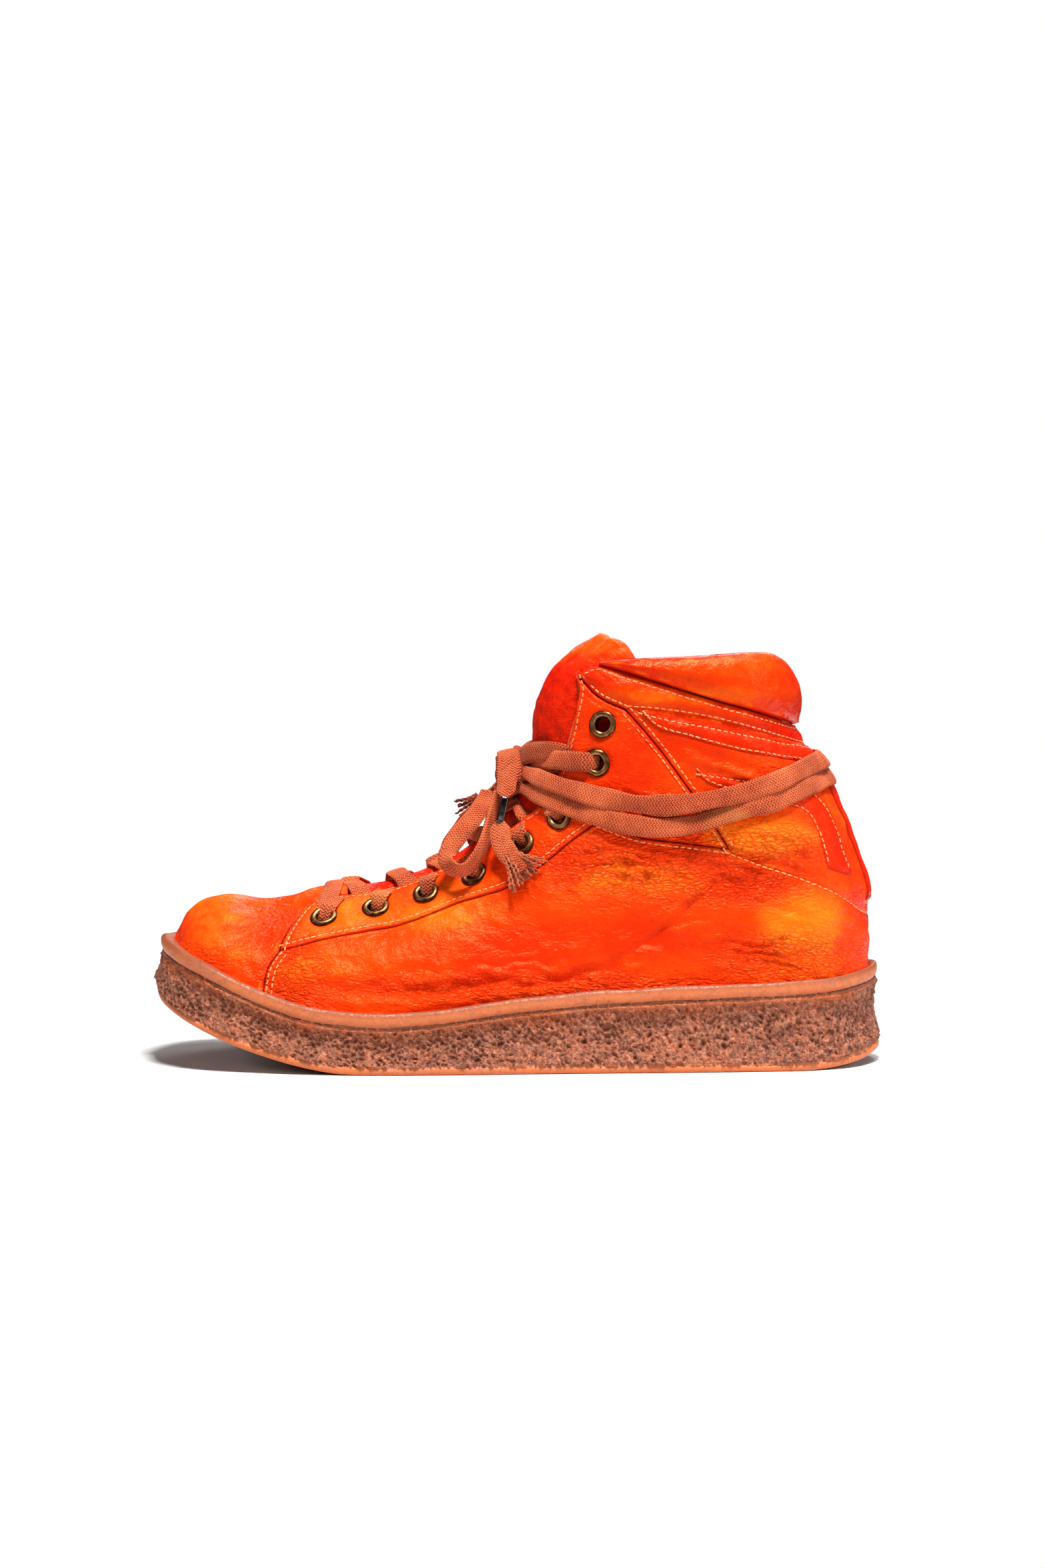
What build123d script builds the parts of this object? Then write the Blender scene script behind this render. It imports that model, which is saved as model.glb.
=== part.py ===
"""Left high-top basketball shoe in leather on a crepe rubber cup sole.

Frame: millimetres, +Z up, toe towards -X, outer (lateral) side towards -Y.
The origin lies on the ground plane under the middle of the sole.
"""

from build123d import *
from math import pi, radians, sqrt, tan
import os

os.makedirs("parts", exist_ok=True)

# ---------------------------------------------------------------- driving dimensions
LEATHER = 1.3  # thickness of the outer leather
STIFFENER = 0.8  # toe puff and heel counter
LINING = 1.0
OVERLAY = 1.2  # stripes and straps sewn on the outside
GLUE_LINE = 0.1  # between two layers
LACE_WIDTH = 8.0
LACE_THICKNESS = 1.4
CORD_R = 2.2  # a lace rolled up where it hangs free
TIP_START, TIP_LENGTH = 5.0, 11.5  # the metal tip, up from a bend of the outer end
RIM_OVERHANG = 5.5  # the sole's rim stands this far outside the leather
RIM_OVERHANG_HEEL = 2.8
WALL_FLARE = 2.2  # the wall leans out by this much from rim to ground
CUP_DEPTH = 11.0  # the leather goes this far down inside the rim
SOCK_DEPTH = 15.0  # and the skin's closed bottom this far
CUP_CLEARANCE = 0.3
CUP_FLOOR = 8.0  # crepe under the wedge
WALL = 8.0  # crepe outside the wedge
BOARD = 1.9
FOOTBED = 3.5
SHANK = (14.0, 1.2)
STRAP_HALF_WIDTH = 11.0
STRAP_PROUD = 1.8
REACH = 90.0  # prisms run this far to each side

FACING_PROUD = 0.6  # the eyelet stay stands above the leather round it
EYELET_HOLE_R = 2.8
EYELET_RIM_R = 5.6
EYELET_BARREL = 0.5  # wall of the eyelet's barrel
EYELET_PROUD = 0.9  # rim above the leather
EYELET_BACK = (3.7, 4.4)  # the clinched ring, below the leather's face
EYELET_BACK_R = 4.7

TONGUE_THICKNESS = 7.0
TONGUE_HALF_WIDTH = 22.0  # of its free part
TONGUE_HINGE = (12.0, 129.0)  # x, z where the free part of the tongue bends
TONGUE_SWING = (-15.0, 22.0)  # degrees back into the mouth, and forwards

# Depths below the leather's outer face where each layer starts.
STIFFENER_TOP = LEATHER + GLUE_LINE
LINING_TOP = STIFFENER_TOP + STIFFENER + GLUE_LINE
LINING_BOTTOM = LINING_TOP + LINING
TONGUE_TOP = EYELET_BACK[1] - FACING_PROUD + 0.4
PADDING = 5.0  # foam under the ankle panels
BAND_PROUD = 0.9
COLLAR_OUT = 2.6  # how far the padded collar stands out
COLLAR_IN = 6.5  # and in, towards the ankle

# ---------------------------------------------------------------- the shoe's skin
# The skin is a tube from the toe to the collar. Each station is a line in the side
# view, from the sole or heel up to the instep, with the tube's width across it:
# (low x, low z, top x, top z, top radius, roof slope, outer half, inner half, centre y)
STATIONS = [
    (-141.3, 35.0, -141.3, 49.5, 14, 0.80, 20, 20, 5.0),
    (-139.8, 34.5, -139.6, 54.0, 16, 0.80, 28, 28, 5.0),
    (-136.0, 33.0, -135.3, 61.0, 18, 0.80, 36, 35, 5.0),
    (-130.5, 30.5, -129.0, 65.6, 22, 0.80, 41, 40, 5.0),
    (-120.0, 26.0, -118.0, 68.0, 28, 0.80, 45, 44, 4.5),
    (-106.0, 19.8, -104.0, 67.0, 28, 0.80, 48, 46, 4.0),
    (-88.0, 14.0, -90.0, 69.0, 26, 0.78, 50, 47, 3.0),
    (-68.0, 10.3, -74.0, 71.5, 25, 0.75, 51, 47, 2.0),
    (-44.0, 9.8, -58.0, 73.2, 24, 0.72, 50, 45, 1.0),
    (-14.0, 13.0, -44.0, 76.8, 23, 0.68, 47, 41, 0.0),
    (24.0, 17.0, -31.0, 82.0, 22, 0.62, 43, 38, 0.0),
    (66.0, 19.3, -19.0, 89.0, 22, 0.56, 40, 37, 0.0),
    (108.0, 20.7, -9.0, 98.0, 22, 0.50, 38.5, 37.5, 0.0),
    (131.0, 22.8, -4.6, 103.0, 22, 0.48, 38.2, 37.5, 0.0),
    (142.5, 24.6, -2.2, 105.7, 22, 0.47, 38, 37.5, 0.0),
    (147.2, 26.0, -1.0, 107.0, 22, 0.46, 38, 37.5, 0.0),
    (147.2, 50.0, 3.5, 117.0, 23, 0.44, 37.5, 37.5, 0.0),
    (144.9, 73.0, 6.5, 127.0, 24, 0.42, 37, 37, 0.0),
    (138.0, 95.0, 7.5, 136.0, 25, 0.40, 36.5, 36.5, 0.0),
    (127.9, 116.0, 8.5, 145.0, 25, 0.40, 36.5, 36.5, 0.0),
    (116.0, 136.0, 10.5, 154.0, 25, 0.40, 36.5, 36.5, 0.0),
    (113.8, 153.0, 14.5, 163.0, 25, 0.40, 36.5, 36.5, 0.0),
    (109.0, 171.0, 21.0, 175.0, 25, 0.40, 36.5, 36.5, 0.0),
]
HEEL_STATION = 15  # from here on the low end of a station lies on the back of the heel
NOSE_STATIONS = 4  # the first stations move back as the skin goes inwards
BACK_LINE = [  # z, x of the back of the heel and shaft
    (20, 147.2), (50, 147.2), (58, 146.8), (67, 145.8), (84, 142.3), (92, 139.2),
    (101.5, 135.2), (113, 129.3), (128, 121.0), (133, 117.6), (138, 115.2),
    (146, 114.6), (155, 113.6), (165, 111.0), (175, 107.0),
]
BACK_RADIUS = 30.0
ROUNDING = 6  # how sharply the walls turn into the top and the back
FLAT_END = 4.0  # the tube's narrow flat strip down the back

RIM_LINE = [  # x, z of the sole's top edge
    (-150, 53.5), (-141, 50), (-130, 45.5), (-120, 41), (-110, 36.6), (-100, 32.2),
    (-90, 29), (-80, 26.8), (-70, 25.3), (-60, 24.5), (-50, 24.3), (-35, 25.2),
    (-15, 28), (10, 31), (40, 33.3), (80, 35), (120, 36.5), (140, 38.6), (151, 41),
]


def hermite(knots, at):
    """Smooth curve through (place, value) knots, at one place."""
    last = len(knots) - 1
    i = 0
    while i < last - 1 and knots[i + 1][0] < at:
        i += 1

    def slope(k):
        low, high = max(k - 1, 0), min(k + 1, last)
        return (knots[high][1] - knots[low][1]) / (knots[high][0] - knots[low][0])

    (x0, y0), (x1, y1) = knots[i], knots[i + 1]
    span = x1 - x0
    t = min(max((at - x0) / span, 0.0), 1.0)
    return (
        y0 * (2 * t**3 - 3 * t**2 + 1)
        + y1 * (3 * t**2 - 2 * t**3)
        + slope(i) * span * (t**3 - 2 * t**2 + t)
        + slope(i + 1) * span * (t**3 - t**2)
    )


def rim_z(x):
    return hermite(RIM_LINE, x)


def soft_min(*values):
    """The least of some widths, with a rounded change from one to the next."""
    if min(values) <= 0:
        return 0.0
    return sum(v**-ROUNDING for v in values) ** (-1 / ROUNDING)


def half_width(x, z, from_top, radius, slope, half):
    """The skin's half width at a point of the side view."""
    roof = sqrt(2 * radius * from_top + (slope * from_top) ** 2)
    back = sqrt(2 * BACK_RADIUS * max(hermite(BACK_LINE, z) - x, 0.0))
    return soft_min(roof, back, half)


def station_at(u):
    """The station at a fractional place along the tube."""
    station = [
        hermite([(i, s[k]) for i, s in enumerate(STATIONS)], u)
        for k in range(len(STATIONS[0]))
    ]
    if u > HEEL_STATION:
        station[0] = hermite(BACK_LINE, station[1])
    return station


def width_at(x, z, side):
    """Half width of the skin at a side-view point: side 1 is the outer side."""
    low, high = 0.0, len(STATIONS) - 1.0
    for _ in range(30):
        u = (low + high) / 2
        bx, bz, tx, tz = station_at(u)[:4]
        if (tx - bx) * (z - bz) - (tz - bz) * (x - bx) < 0:
            low = u
        else:
            high = u
    s = station_at(u)
    from_top = max(sqrt((s[2] - x) ** 2 + (s[3] - z) ** 2), 1e-6)
    width = half_width(x, z, from_top, s[4], s[5], s[6] if side > 0 else s[7])
    return width - side * s[8] if side > 0 else width + s[8]


def skin_point(x, z, side):
    """The point of the skin, and its outward direction, at a side-view point."""
    step = 0.5
    here = width_at(x, z, side)
    dx = (width_at(x + step, z, side) - width_at(x - step, z, side)) / (2 * step)
    dz = (width_at(x, z + step, side) - width_at(x, z - step, side)) / (2 * step)
    return Vector(x, -side * here, z), Vector(-dx, -side, -dz).normalized()


ALONG = [0, 0.01, 0.04, 0.1, 0.2, 0.38, 0.6, 0.8, 0.92, 0.98, 1.0]


def section(station, grow):
    """2D outline of the tube at a station: (distance from the low end, y)."""
    bx, bz, tx, tz, radius, slope, outer, inner, centre = station
    length = sqrt((tx - bx) ** 2 + (tz - bz) ** 2)

    def side_points(half):
        found = []
        for share in ALONG:
            s = share * length
            x, z = tx + (bx - tx) * share, tz + (bz - tz) * share
            width = half_width(x, z, s, radius, slope, half)
            found.append((length - s, width))
        found[-1] = (0.0, max(found[-1][1], FLAT_END))
        return found

    lateral = [(a, centre - y) for a, y in reversed(side_points(outer))]
    medial = [(a, centre + y) for a, y in side_points(inner)[1:]]
    points = lateral + medial
    grown = []
    for i, (a, y) in enumerate(points):
        a0, y0 = points[max(i - 1, 0)]
        a1, y1 = points[min(i + 1, len(points) - 1)]
        run = sqrt((a1 - a0) ** 2 + (y1 - y0) ** 2)
        grown.append((a - (y1 - y0) / run * -grow, y - (a1 - a0) / run * grow))
    return grown


def skin_solid(grow):
    """The solid inside the skin, grown outwards by a distance, or inwards if negative."""
    with BuildPart() as solid:
        for i in range(2 * len(STATIONS) - 1):
            s = station_at(i / 2)
            shift = max(-grow, 0) * max(0.0, 1 - i / 2 / NOSE_STATIONS)
            low = Vector(s[0] + shift, 0, s[1])
            top = Vector(s[2] + shift, 0, s[3])
            along = (top - low).normalized()
            plane = Plane(origin=low, x_dir=along, z_dir=along.cross(Vector(0, 1, 0)))
            points = section(s, grow)
            with BuildSketch(plane):
                with BuildLine():
                    Spline(*points)
                    Line(points[-1], points[0])
                make_face()
        loft(ruled=True)
    return solid.part


SKINS = {}
LAYERS = {}


def skin(grow):
    """The skin solid at an offset, built once."""
    if grow not in SKINS:
        SKINS[grow] = skin_solid(grow)
    return SKINS[grow]


# ---------------------------------------------------------------- seams in the side view
TOE_SEAM = [(-104, 0), (-102.3, 22), (-101.5, 32), (-99.7, 41), (-95.5, 47.5)]
FACING_FRONT = [(-95.5, 47.5), (-94, 52), (-91, 58), (-87, 63.5), (-81, 67.3), (-75, 68.6)]
FACING_TIP = [(-75, 68.6), (-69, 69)]
FACING_INNER = [
    (-69, 69), (-60, 69.6), (-50, 72), (-40, 75.3), (-30, 79.8), (-20, 85.2),
    (-10, 91), (0, 98.3), (10, 106),
]
FACING_LOWER = [
    (-95.5, 47.5), (-80, 51.5), (-60, 55.7), (-42, 59.5), (-20, 68.2), (-5, 73),
    (8, 80.5), (20, 90), (33, 100.2),
]
FACING_TOP = [(10, 106), (33, 100.2)]
ANKLE_FRONT = [(10, 106), (18, 120), (22.5, 136), (25.8, 152), (24.6, 159.5)]
ANKLE_REAR = [(44.5, 145.2), (51, 138), (60, 127), (70.5, 112.5), (80, 99), (86, 89.4)]
QUARTER_TOP = [
    (33, 100.2), (50, 94.2), (70, 91.5), (86, 89.4), (100, 84), (115, 79), (130, 72.3),
    (143, 64.2), (165, 50),
]
QUARTER_TOP_FRONT = QUARTER_TOP[:4]
QUARTER_TOP_REAR = QUARTER_TOP[3:]
BAND_LOWER_FRONT = [(24.6, 159.5), (33, 150.8), (44.5, 145.2)]
BAND_LOWER_REAR = [(44.5, 145.2), (60, 144), (80, 140.7), (100, 135.3), (118, 130), (140, 123)]
BAND_UPPER = [
    (24.6, 159.5), (33, 163.8), (42, 161.2), (60, 155.6), (80, 149.4), (100, 143.8),
    (118, 138), (140, 130),
]
ROLL_TOP = [
    (33, 163.8), (41, 165.8), (56, 166.4), (80, 167.4), (100, 169.2), (108, 169.2),
    (116, 163.5), (121, 152), (122, 137),
]
STRIPE_UPPER = [
    [(49, 145.7), (60, 142.8), (80, 138.9), (100, 134.3), (126, 127.8)],
    [(126, 127.8), (126, 121)],
    [(126, 121), (110, 124.8), (90, 128.5), (70, 134), (57, 138), (49, 145.7)],
]
STRIPE_REAR = [
    [(72, 121), (90, 118.2), (108, 115.6), (119, 112.6), (129, 100), (136, 82), (137, 77)],
    [(137, 77), (126, 81)],
    [(126, 81), (123, 91), (117, 103), (100, 108.6), (78, 115.5), (72, 121)],
]
HEEL_STRAP_Z = (66.5, 124.0)
SOLE_BOTTOM = [
    (-156, 37.5), (-150, 30.5), (-146, 26), (-140, 22.4), (-130, 17.8), (-120, 13.5),
    (-110, 9.7), (-100, 6.6), (-90, 3.9), (-80, 1.8), (-72, 0.6), (-62, 0),
]
SOLE_HEEL = [(118, 0), (130, 0.9), (140, 2.4), (147, 4.2), (156, 7.5)]
TONGUE_EDGE = [
    (-80, 62), (-60, 63.5), (-40, 69), (-20, 78), (-5, 88), (10, 99), (20, 109),
    (27, 120), (29, 128.6),
]
EYELETS = [(-78, 60.5), (-57, 64.5), (-36.5, 70.5), (-16.7, 78), (3, 90.5), (18, 102)]
ANKLE_EYELET = (33, 124)
TOP_EYELET = (35.5, 139.5)
LACE_BARS = [  # each from beside its eyelet up over the tongue
    [(-78.3, 66.5), (-78, 80)],
    [(-60.5, 68.6), (-71, 82)],
    [(-34, 76), (-28, 90)],
    [(-13.5, 83), (-5, 100)],
    [(0.5, 96), (-7, 112)],
    [(14, 106.5), (2, 120)],
]
WRAP_UPPER = [
    (-20, 122), (5, 119), (22, 113.5), (40, 109), (60, 107), (80, 109.5), (100, 114.5),
    (120, 122), (145, 128),
]
WRAP_LOWER = [
    (-20, 114), (5, 112), (20, 107), (40, 100.5), (58, 98), (74, 100), (90, 105),
    (110, 111), (128, 117), (150, 121),
]

SIDES = {"lateral": 1, "medial": -1}


def prism(edges):
    """Extrude a side-view outline to both sides."""
    with BuildPart() as solid:
        with BuildSketch(Plane.XZ):
            with BuildLine():
                ends = []
                for edge in edges:
                    if len(edge) > 2:
                        Spline(*edge)
                    else:
                        Line(*edge)
                    ends.append((edge[0], edge[-1]))
                for (_, end), (start, _) in zip(ends, ends[1:] + ends[:1]):
                    if end != start:
                        Line(end, start)
            make_face()
        extrude(amount=REACH, both=True)
    return solid.part


def back(edge):
    return edge[::-1]


def above_floor(drop, low=-160.0, high=165.0, roof=190.0):
    """Prism of everything above the sole's rim line lowered by a depth."""
    places = [low + (high - low) * i / 28 for i in range(29)]
    line = [(x, rim_z(x) - drop) for x in places]
    return prism([line, [line[-1], (high, roof)], [(high, roof), (low, roof)]])


def layer(outer, inner):
    """The layer between two offsets of the skin, built once."""
    if (outer, inner) not in LAYERS:
        LAYERS[outer, inner] = skin(outer) - skin(inner)
    return LAYERS[outer, inner]


def back_seam():
    """Slit down the middle of the heel, where the two sides' panels meet."""
    with BuildPart() as slit:
        with Locations(Location((140, 0, 95), (0, 0, 0.4))):
            Box(100, 0.2, 240)
    return slit.part


def sewn(outline, outer, inner, *trims):
    """The part of a skin layer inside a side-view outline, and inside the trims."""
    panel = prism(outline) & layer(outer, inner)
    for trim in trims:
        panel = panel & trim
    return panel


def split(panel):
    """The outer-side and inner-side halves of a panel that is in two solids."""
    halves = {"lateral": [], "medial": []}
    for solid in panel.solids():
        halves["lateral" if solid.center().Y < 0 else "medial"].append(solid)
    return {side: Compound(children=solids) for side, solids in halves.items()}


def ribbon_outline(path, width=LACE_WIDTH):
    """Outline of a flat lace that follows a path in the side view."""
    edges = []
    for sign in (1, -1):
        edge = []
        for i, (x, z) in enumerate(path):
            x0, z0 = path[max(i - 1, 0)]
            x1, z1 = path[min(i + 1, len(path) - 1)]
            run = sqrt((x1 - x0) ** 2 + (z1 - z0) ** 2)
            edge.append(
                (x - sign * (z1 - z0) / run * width / 2, z + sign * (x1 - x0) / run * width / 2)
            )
        edges.append(edge if sign > 0 else edge[::-1])
    return [edges[0], [edges[0][-1], edges[1][0]], edges[1]]


def axis_at(place, side, lift):
    """Plane on the leather, lifted off it, with its normal pointing outwards."""
    point, normal = skin_point(*place, side)
    return Plane(origin=point + normal * lift, z_dir=normal)


NODES = {}


def keep(name, solid):
    """Name a finished node and write it out."""
    solid.label = name
    export_step(solid, f"parts/{name}.step")
    NODES[name] = solid
    print(name, round(solid.volume), len(solid.solids()), solid.is_valid, flush=True)

# ---------------------------------------------------------------- upper: outer leather
floor = above_floor(CUP_DEPTH)
slit = back_seam()
VAMP = [
    TOE_SEAM, FACING_FRONT, FACING_TIP, [(-69, 69), (-66, 90)], [(-66, 90), (-170, 90)],
    [(-170, 90), (-170, 0)],
]
QUARTER = [TOE_SEAM, FACING_LOWER, QUARTER_TOP_FRONT, QUARTER_TOP_REAR, [(165, 50), (165, 0)]]
FACING = [FACING_FRONT, FACING_TIP, FACING_INNER, FACING_TOP, back(FACING_LOWER)]
ANKLE_FACING = [
    FACING_TOP, QUARTER_TOP_FRONT, back(ANKLE_REAR), back(BAND_LOWER_FRONT), back(ANKLE_FRONT),
]
ANKLE_PANEL = [
    ANKLE_REAR, QUARTER_TOP_REAR, [(165, 50), (165, 110)], [(165, 110), (140, 123)],
    back(BAND_LOWER_REAR),
]
COLLAR_BAND = [BAND_LOWER_FRONT, BAND_LOWER_REAR, [(140, 123), (140, 130)], back(BAND_UPPER)]
STRAP = [
    [(100, HEEL_STRAP_Z[0]), (165, HEEL_STRAP_Z[0])], [(165, HEEL_STRAP_Z[1]), (100, HEEL_STRAP_Z[1])],
]
ROLL = [
    BAND_UPPER[2:], [(140, 130), (122, 137)], back(ROLL_TOP[1:]), [ROLL_TOP[1], BAND_UPPER[2]],
]


def eyelet(place, side):
    """A brass eyelet, its back clinched into a ring behind the leather and its liner."""
    inner, barrel = EYELET_HOLE_R, EYELET_HOLE_R + EYELET_BARREL
    proud, (shallow, deep) = EYELET_PROUD, EYELET_BACK
    with BuildPart() as ring:
        with BuildSketch(Plane.XZ):
            with BuildLine():
                Polyline(
                    (inner, -deep), (EYELET_BACK_R, -deep), (EYELET_BACK_R, -shallow),
                    (barrel, -shallow), (barrel, 0.02), (EYELET_RIM_R, 0.02),
                    (EYELET_RIM_R, 0.3),
                )
                Spline(
                    (EYELET_RIM_R, 0.3), (EYELET_RIM_R - 0.8, proud), (barrel, 0.7 * proud),
                    (inner, 0),
                )
                Line((inner, 0), (inner, -deep))
            make_face()
        revolve(axis=Axis.Z)
    return axis_at(place, side, FACING_PROUD).location * ring.part


def eyelet_holes(places, side):
    """The punched holes of a row of eyelets, pressed flat under both rims."""
    room = 0.1
    shallow = EYELET_BACK[0]
    with BuildPart() as punch:
        Cylinder(EYELET_HOLE_R + EYELET_BARREL + room, 14)
        Cylinder(EYELET_RIM_R + room, 4, align=(Align.CENTER, Align.CENTER, Align.MIN))
        with Locations((0, 0, -shallow + room)):
            Cylinder(EYELET_BACK_R + room, 4, align=(Align.CENTER, Align.CENTER, Align.MAX))
    return [axis_at(place, side, FACING_PROUD).location * punch.part for place in places]


EYELETS_OF = {"facing": EYELETS, "ankle_facing": [EYELETS[-1], ANKLE_EYELET, TOP_EYELET]}


def keep_pair(name, panel):
    """Write a panel's outer-side and inner-side halves, with their eyelet holes."""
    places = EYELETS_OF.get(name.replace("_liner", ""), [])
    for side, half in split(panel).items():
        if places:
            half = half - eyelet_holes(places, SIDES[side])
        keep(f"{name}_{side}", half)


keep("vamp", sewn(VAMP, 0, -LEATHER, floor))
keep_pair("quarter", sewn(QUARTER, 0, -LEATHER, floor) - slit)
keep_pair("facing", sewn(FACING, FACING_PROUD, -LEATHER))
keep_pair("ankle_facing", sewn(ANKLE_FACING, FACING_PROUD, -LEATHER))
keep_pair("ankle_panel", sewn(ANKLE_PANEL, 0, -LEATHER) - slit)
keep_pair("collar_band", sewn(COLLAR_BAND, BAND_PROUD, -LEATHER) - slit)
strap_strip = Pos(140, 0, 100) * Box(120, 2 * STRAP_HALF_WIDTH, 200)
strap_space = Pos(140, 0, 100) * Box(120, 2 * STRAP_HALF_WIDTH + 0.4, 200)
keep("heel_strap", sewn(STRAP, STRAP_PROUD, GLUE_LINE, strap_strip))
keep_pair(
    "stripe_upper", sewn(STRIPE_UPPER, OVERLAY, GLUE_LINE) - strap_space - prism(COLLAR_BAND)
)
keep_pair("stripe_rear", sewn(STRIPE_REAR, OVERLAY, GLUE_LINE) - strap_space)

# ---------------------------------------------------------------- upper: inside layers
keep("toe_puff", sewn(
    [[(-116, 0), (-114, 45), (-108, 75)], [(-108, 75), (-170, 75)], [(-170, 75), (-170, 0)]],
    -STIFFENER_TOP, -STIFFENER_TOP - STIFFENER, floor))
keep("heel_counter", sewn(
    [[(88, 0), (98, 45), (118, 76), (130, 70), (165, 50)], [(165, 50), (165, 0)]],
    -STIFFENER_TOP, -STIFFENER_TOP - STIFFENER, floor))
keep_pair("facing_liner", sewn(FACING, -STIFFENER_TOP, -STIFFENER_TOP - LINING))
keep_pair("ankle_facing_liner", sewn(ANKLE_FACING, -STIFFENER_TOP, -STIFFENER_TOP - LINING))
keep("vamp_lining", sewn(VAMP, -LINING_TOP, -LINING_BOTTOM, floor))
keep("quarter_lining", sewn(QUARTER, -LINING_TOP, -LINING_BOTTOM, floor))
ANKLE_PAD = [
    BAND_LOWER_FRONT[2:] + ANKLE_REAR[1:], QUARTER_TOP_REAR, [(165, 50), (165, 110)],
    [(165, 110), (140, 130)], back(BAND_UPPER[2:]), [(42, 161.2), (44.5, 145.2)],
]
pad_bottom = STIFFENER_TOP + PADDING
keep("ankle_padding", sewn(ANKLE_PAD, -STIFFENER_TOP, -pad_bottom))
keep("collar_lining", sewn(ANKLE_PAD, -pad_bottom - GLUE_LINE, -pad_bottom - 1.1))
keep("collar_roll", sewn(ROLL, COLLAR_OUT, -COLLAR_IN) - prism(COLLAR_BAND) - prism(ANKLE_PAD))

# ---------------------------------------------------------------- eyelets
for side, sign in SIDES.items():
    rows = [eyelet(place, sign) for place in EYELETS + [ANKLE_EYELET]]
    keep(f"eyelets_{side}", Compound(children=rows))
    keep(f"top_eyelet_{side}", eyelet(TOP_EYELET, sign))

# ---------------------------------------------------------------- sole
def plan_outline(out, out_heel):
    """The sole's outline from above: the skin at the rim, moved outwards."""
    loop = []
    for side in (1, -1):
        row = []
        for x in [-141, -139.5, -136, -130, -120, -104, -84, -62, -38, -10, 24, 60, 92, 114,
                  128, 137, 143, 146.2]:
            row.append((x, -side * width_at(x, rim_z(x) - 1, side)))
        loop += row if side > 0 else row[::-1]
    loop.insert(18, (147.2, 0))
    loop.append((-142, 5))
    moved = []
    for i, (x, y) in enumerate(loop):
        x0, y0 = loop[i - 1]
        x1, y1 = loop[(i + 1) % len(loop)]
        run = sqrt((x1 - x0) ** 2 + (y1 - y0) ** 2)
        share = min(max((x - 60) / 85, 0), 1)
        step = out + (out_heel - out) * share
        moved.append((x + (y1 - y0) / run * step, y - (x1 - x0) / run * step))
    return moved


def slab(outline_low, outline_high, low, high):
    """Solid between two outlines at two heights."""
    with BuildPart() as solid:
        for outline, height in ((outline_low, low), (outline_high, high)):
            with BuildSketch(Plane.XY.offset(height)):
                with BuildLine():
                    Spline(*outline, periodic=True)
                make_face()
        loft(ruled=True)
    return solid.part


def rim_curve(drop, low=-156.0, high=156.0):
    return [(low + (high - low) * i / 26, rim_z(low + (high - low) * i / 26) - drop) for i in range(27)]


side_profile = prism([
    SOLE_BOTTOM, [(-62, 0), (118, 0)], SOLE_HEEL, [(156, 7.5), rim_curve(0)[-1]],
    back(rim_curve(0)),
])
block = slab(
    plan_outline(RIM_OVERHANG + WALL_FLARE, RIM_OVERHANG_HEEL + WALL_FLARE / 2),
    plan_outline(RIM_OVERHANG - 0.5, RIM_OVERHANG_HEEL - 0.5), -1, 58,
) & side_profile


def wedge_prism(grow):
    """Room for the foam wedge under the heel and waist."""
    low, front, rear = CUP_FLOOR - grow, -30 - grow, 136 + grow
    tops = [front + (rear - front) * i / 12 for i in range(13)]
    top = [(x, rim_z(x) - SOCK_DEPTH + 1.0) for x in tops]
    inset = plan_outline(RIM_OVERHANG - WALL + grow, RIM_OVERHANG_HEEL - WALL + grow)
    return slab(inset, inset, 0, 50) & prism([top, [top[-1], (rear, low)], [(front, low), top[0]]])


keep("cupsole", block - skin(CUP_CLEARANCE) - wedge_prism(0.1))


def between(bottom_drop, top_drop):
    """Prism between two depths below the rim line."""
    low, high = rim_curve(bottom_drop), rim_curve(top_drop)
    return prism([low, [low[-1], high[-1]], back(high)])


shank_line = [(x, rim_z(x) - SOCK_DEPTH + 2.0) for x in (-28, 2, 32, 62)]
shank_top = [(x, z + SHANK[1]) for x, z in shank_line]


def shank_solid(grow):
    with BuildPart() as solid:
        with BuildSketch(Plane.XZ):
            with BuildLine():
                Spline(*[(x, z - grow) for x, z in shank_line])
                Spline(*[(x, z + grow) for x, z in shank_top])
                Line((-28, shank_line[0][1] - grow), (-28, shank_top[0][1] + grow))
                Line((62, shank_line[-1][1] - grow), (62, shank_top[-1][1] + grow))
            make_face()
        extrude(amount=SHANK[0] / 2 + grow, both=True)
    return solid.part


keep("shank", shank_solid(0))
filler_space = between(SOCK_DEPTH + 6, CUP_DEPTH + GLUE_LINE) & skin(0)
keep("heel_wedge", wedge_prism(0) - skin(CUP_CLEARANCE) - filler_space)
keep("bottom_filler", filler_space - shank_solid(0.1))
inside = skin(-LINING_BOTTOM - GLUE_LINE)
keep("insole_board", between(CUP_DEPTH, CUP_DEPTH - BOARD) & inside)
footbed_low = CUP_DEPTH - BOARD - GLUE_LINE
keep("footbed", between(footbed_low, footbed_low - FOOTBED) & inside)

# ---------------------------------------------------------------- tongue
tongue_low = TONGUE_TOP + TONGUE_THICKNESS
hinge_x, hinge_z = TONGUE_HINGE
base_top = hinge_z - 0.4  # a little short of the bend, so the flap swings clear
tucked = sewn(
    [TONGUE_EDGE, [(29, base_top), (-20, base_top)], [(-20, base_top), (-80, 90)]],
    -TONGUE_TOP, -tongue_low)
THROAT = [(x - 0.4, z + 1.0) for x, z in FACING_INNER] + [(17, 120), (20, base_top)]
between_facings = sewn(
    [THROAT, [(20, base_top), (-20, base_top)], [(-20, base_top), (-69.4, 90)]],
    -0.3, -TONGUE_TOP - 2)
keep("tongue_base", tucked + (between_facings - prism(VAMP)))

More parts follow.
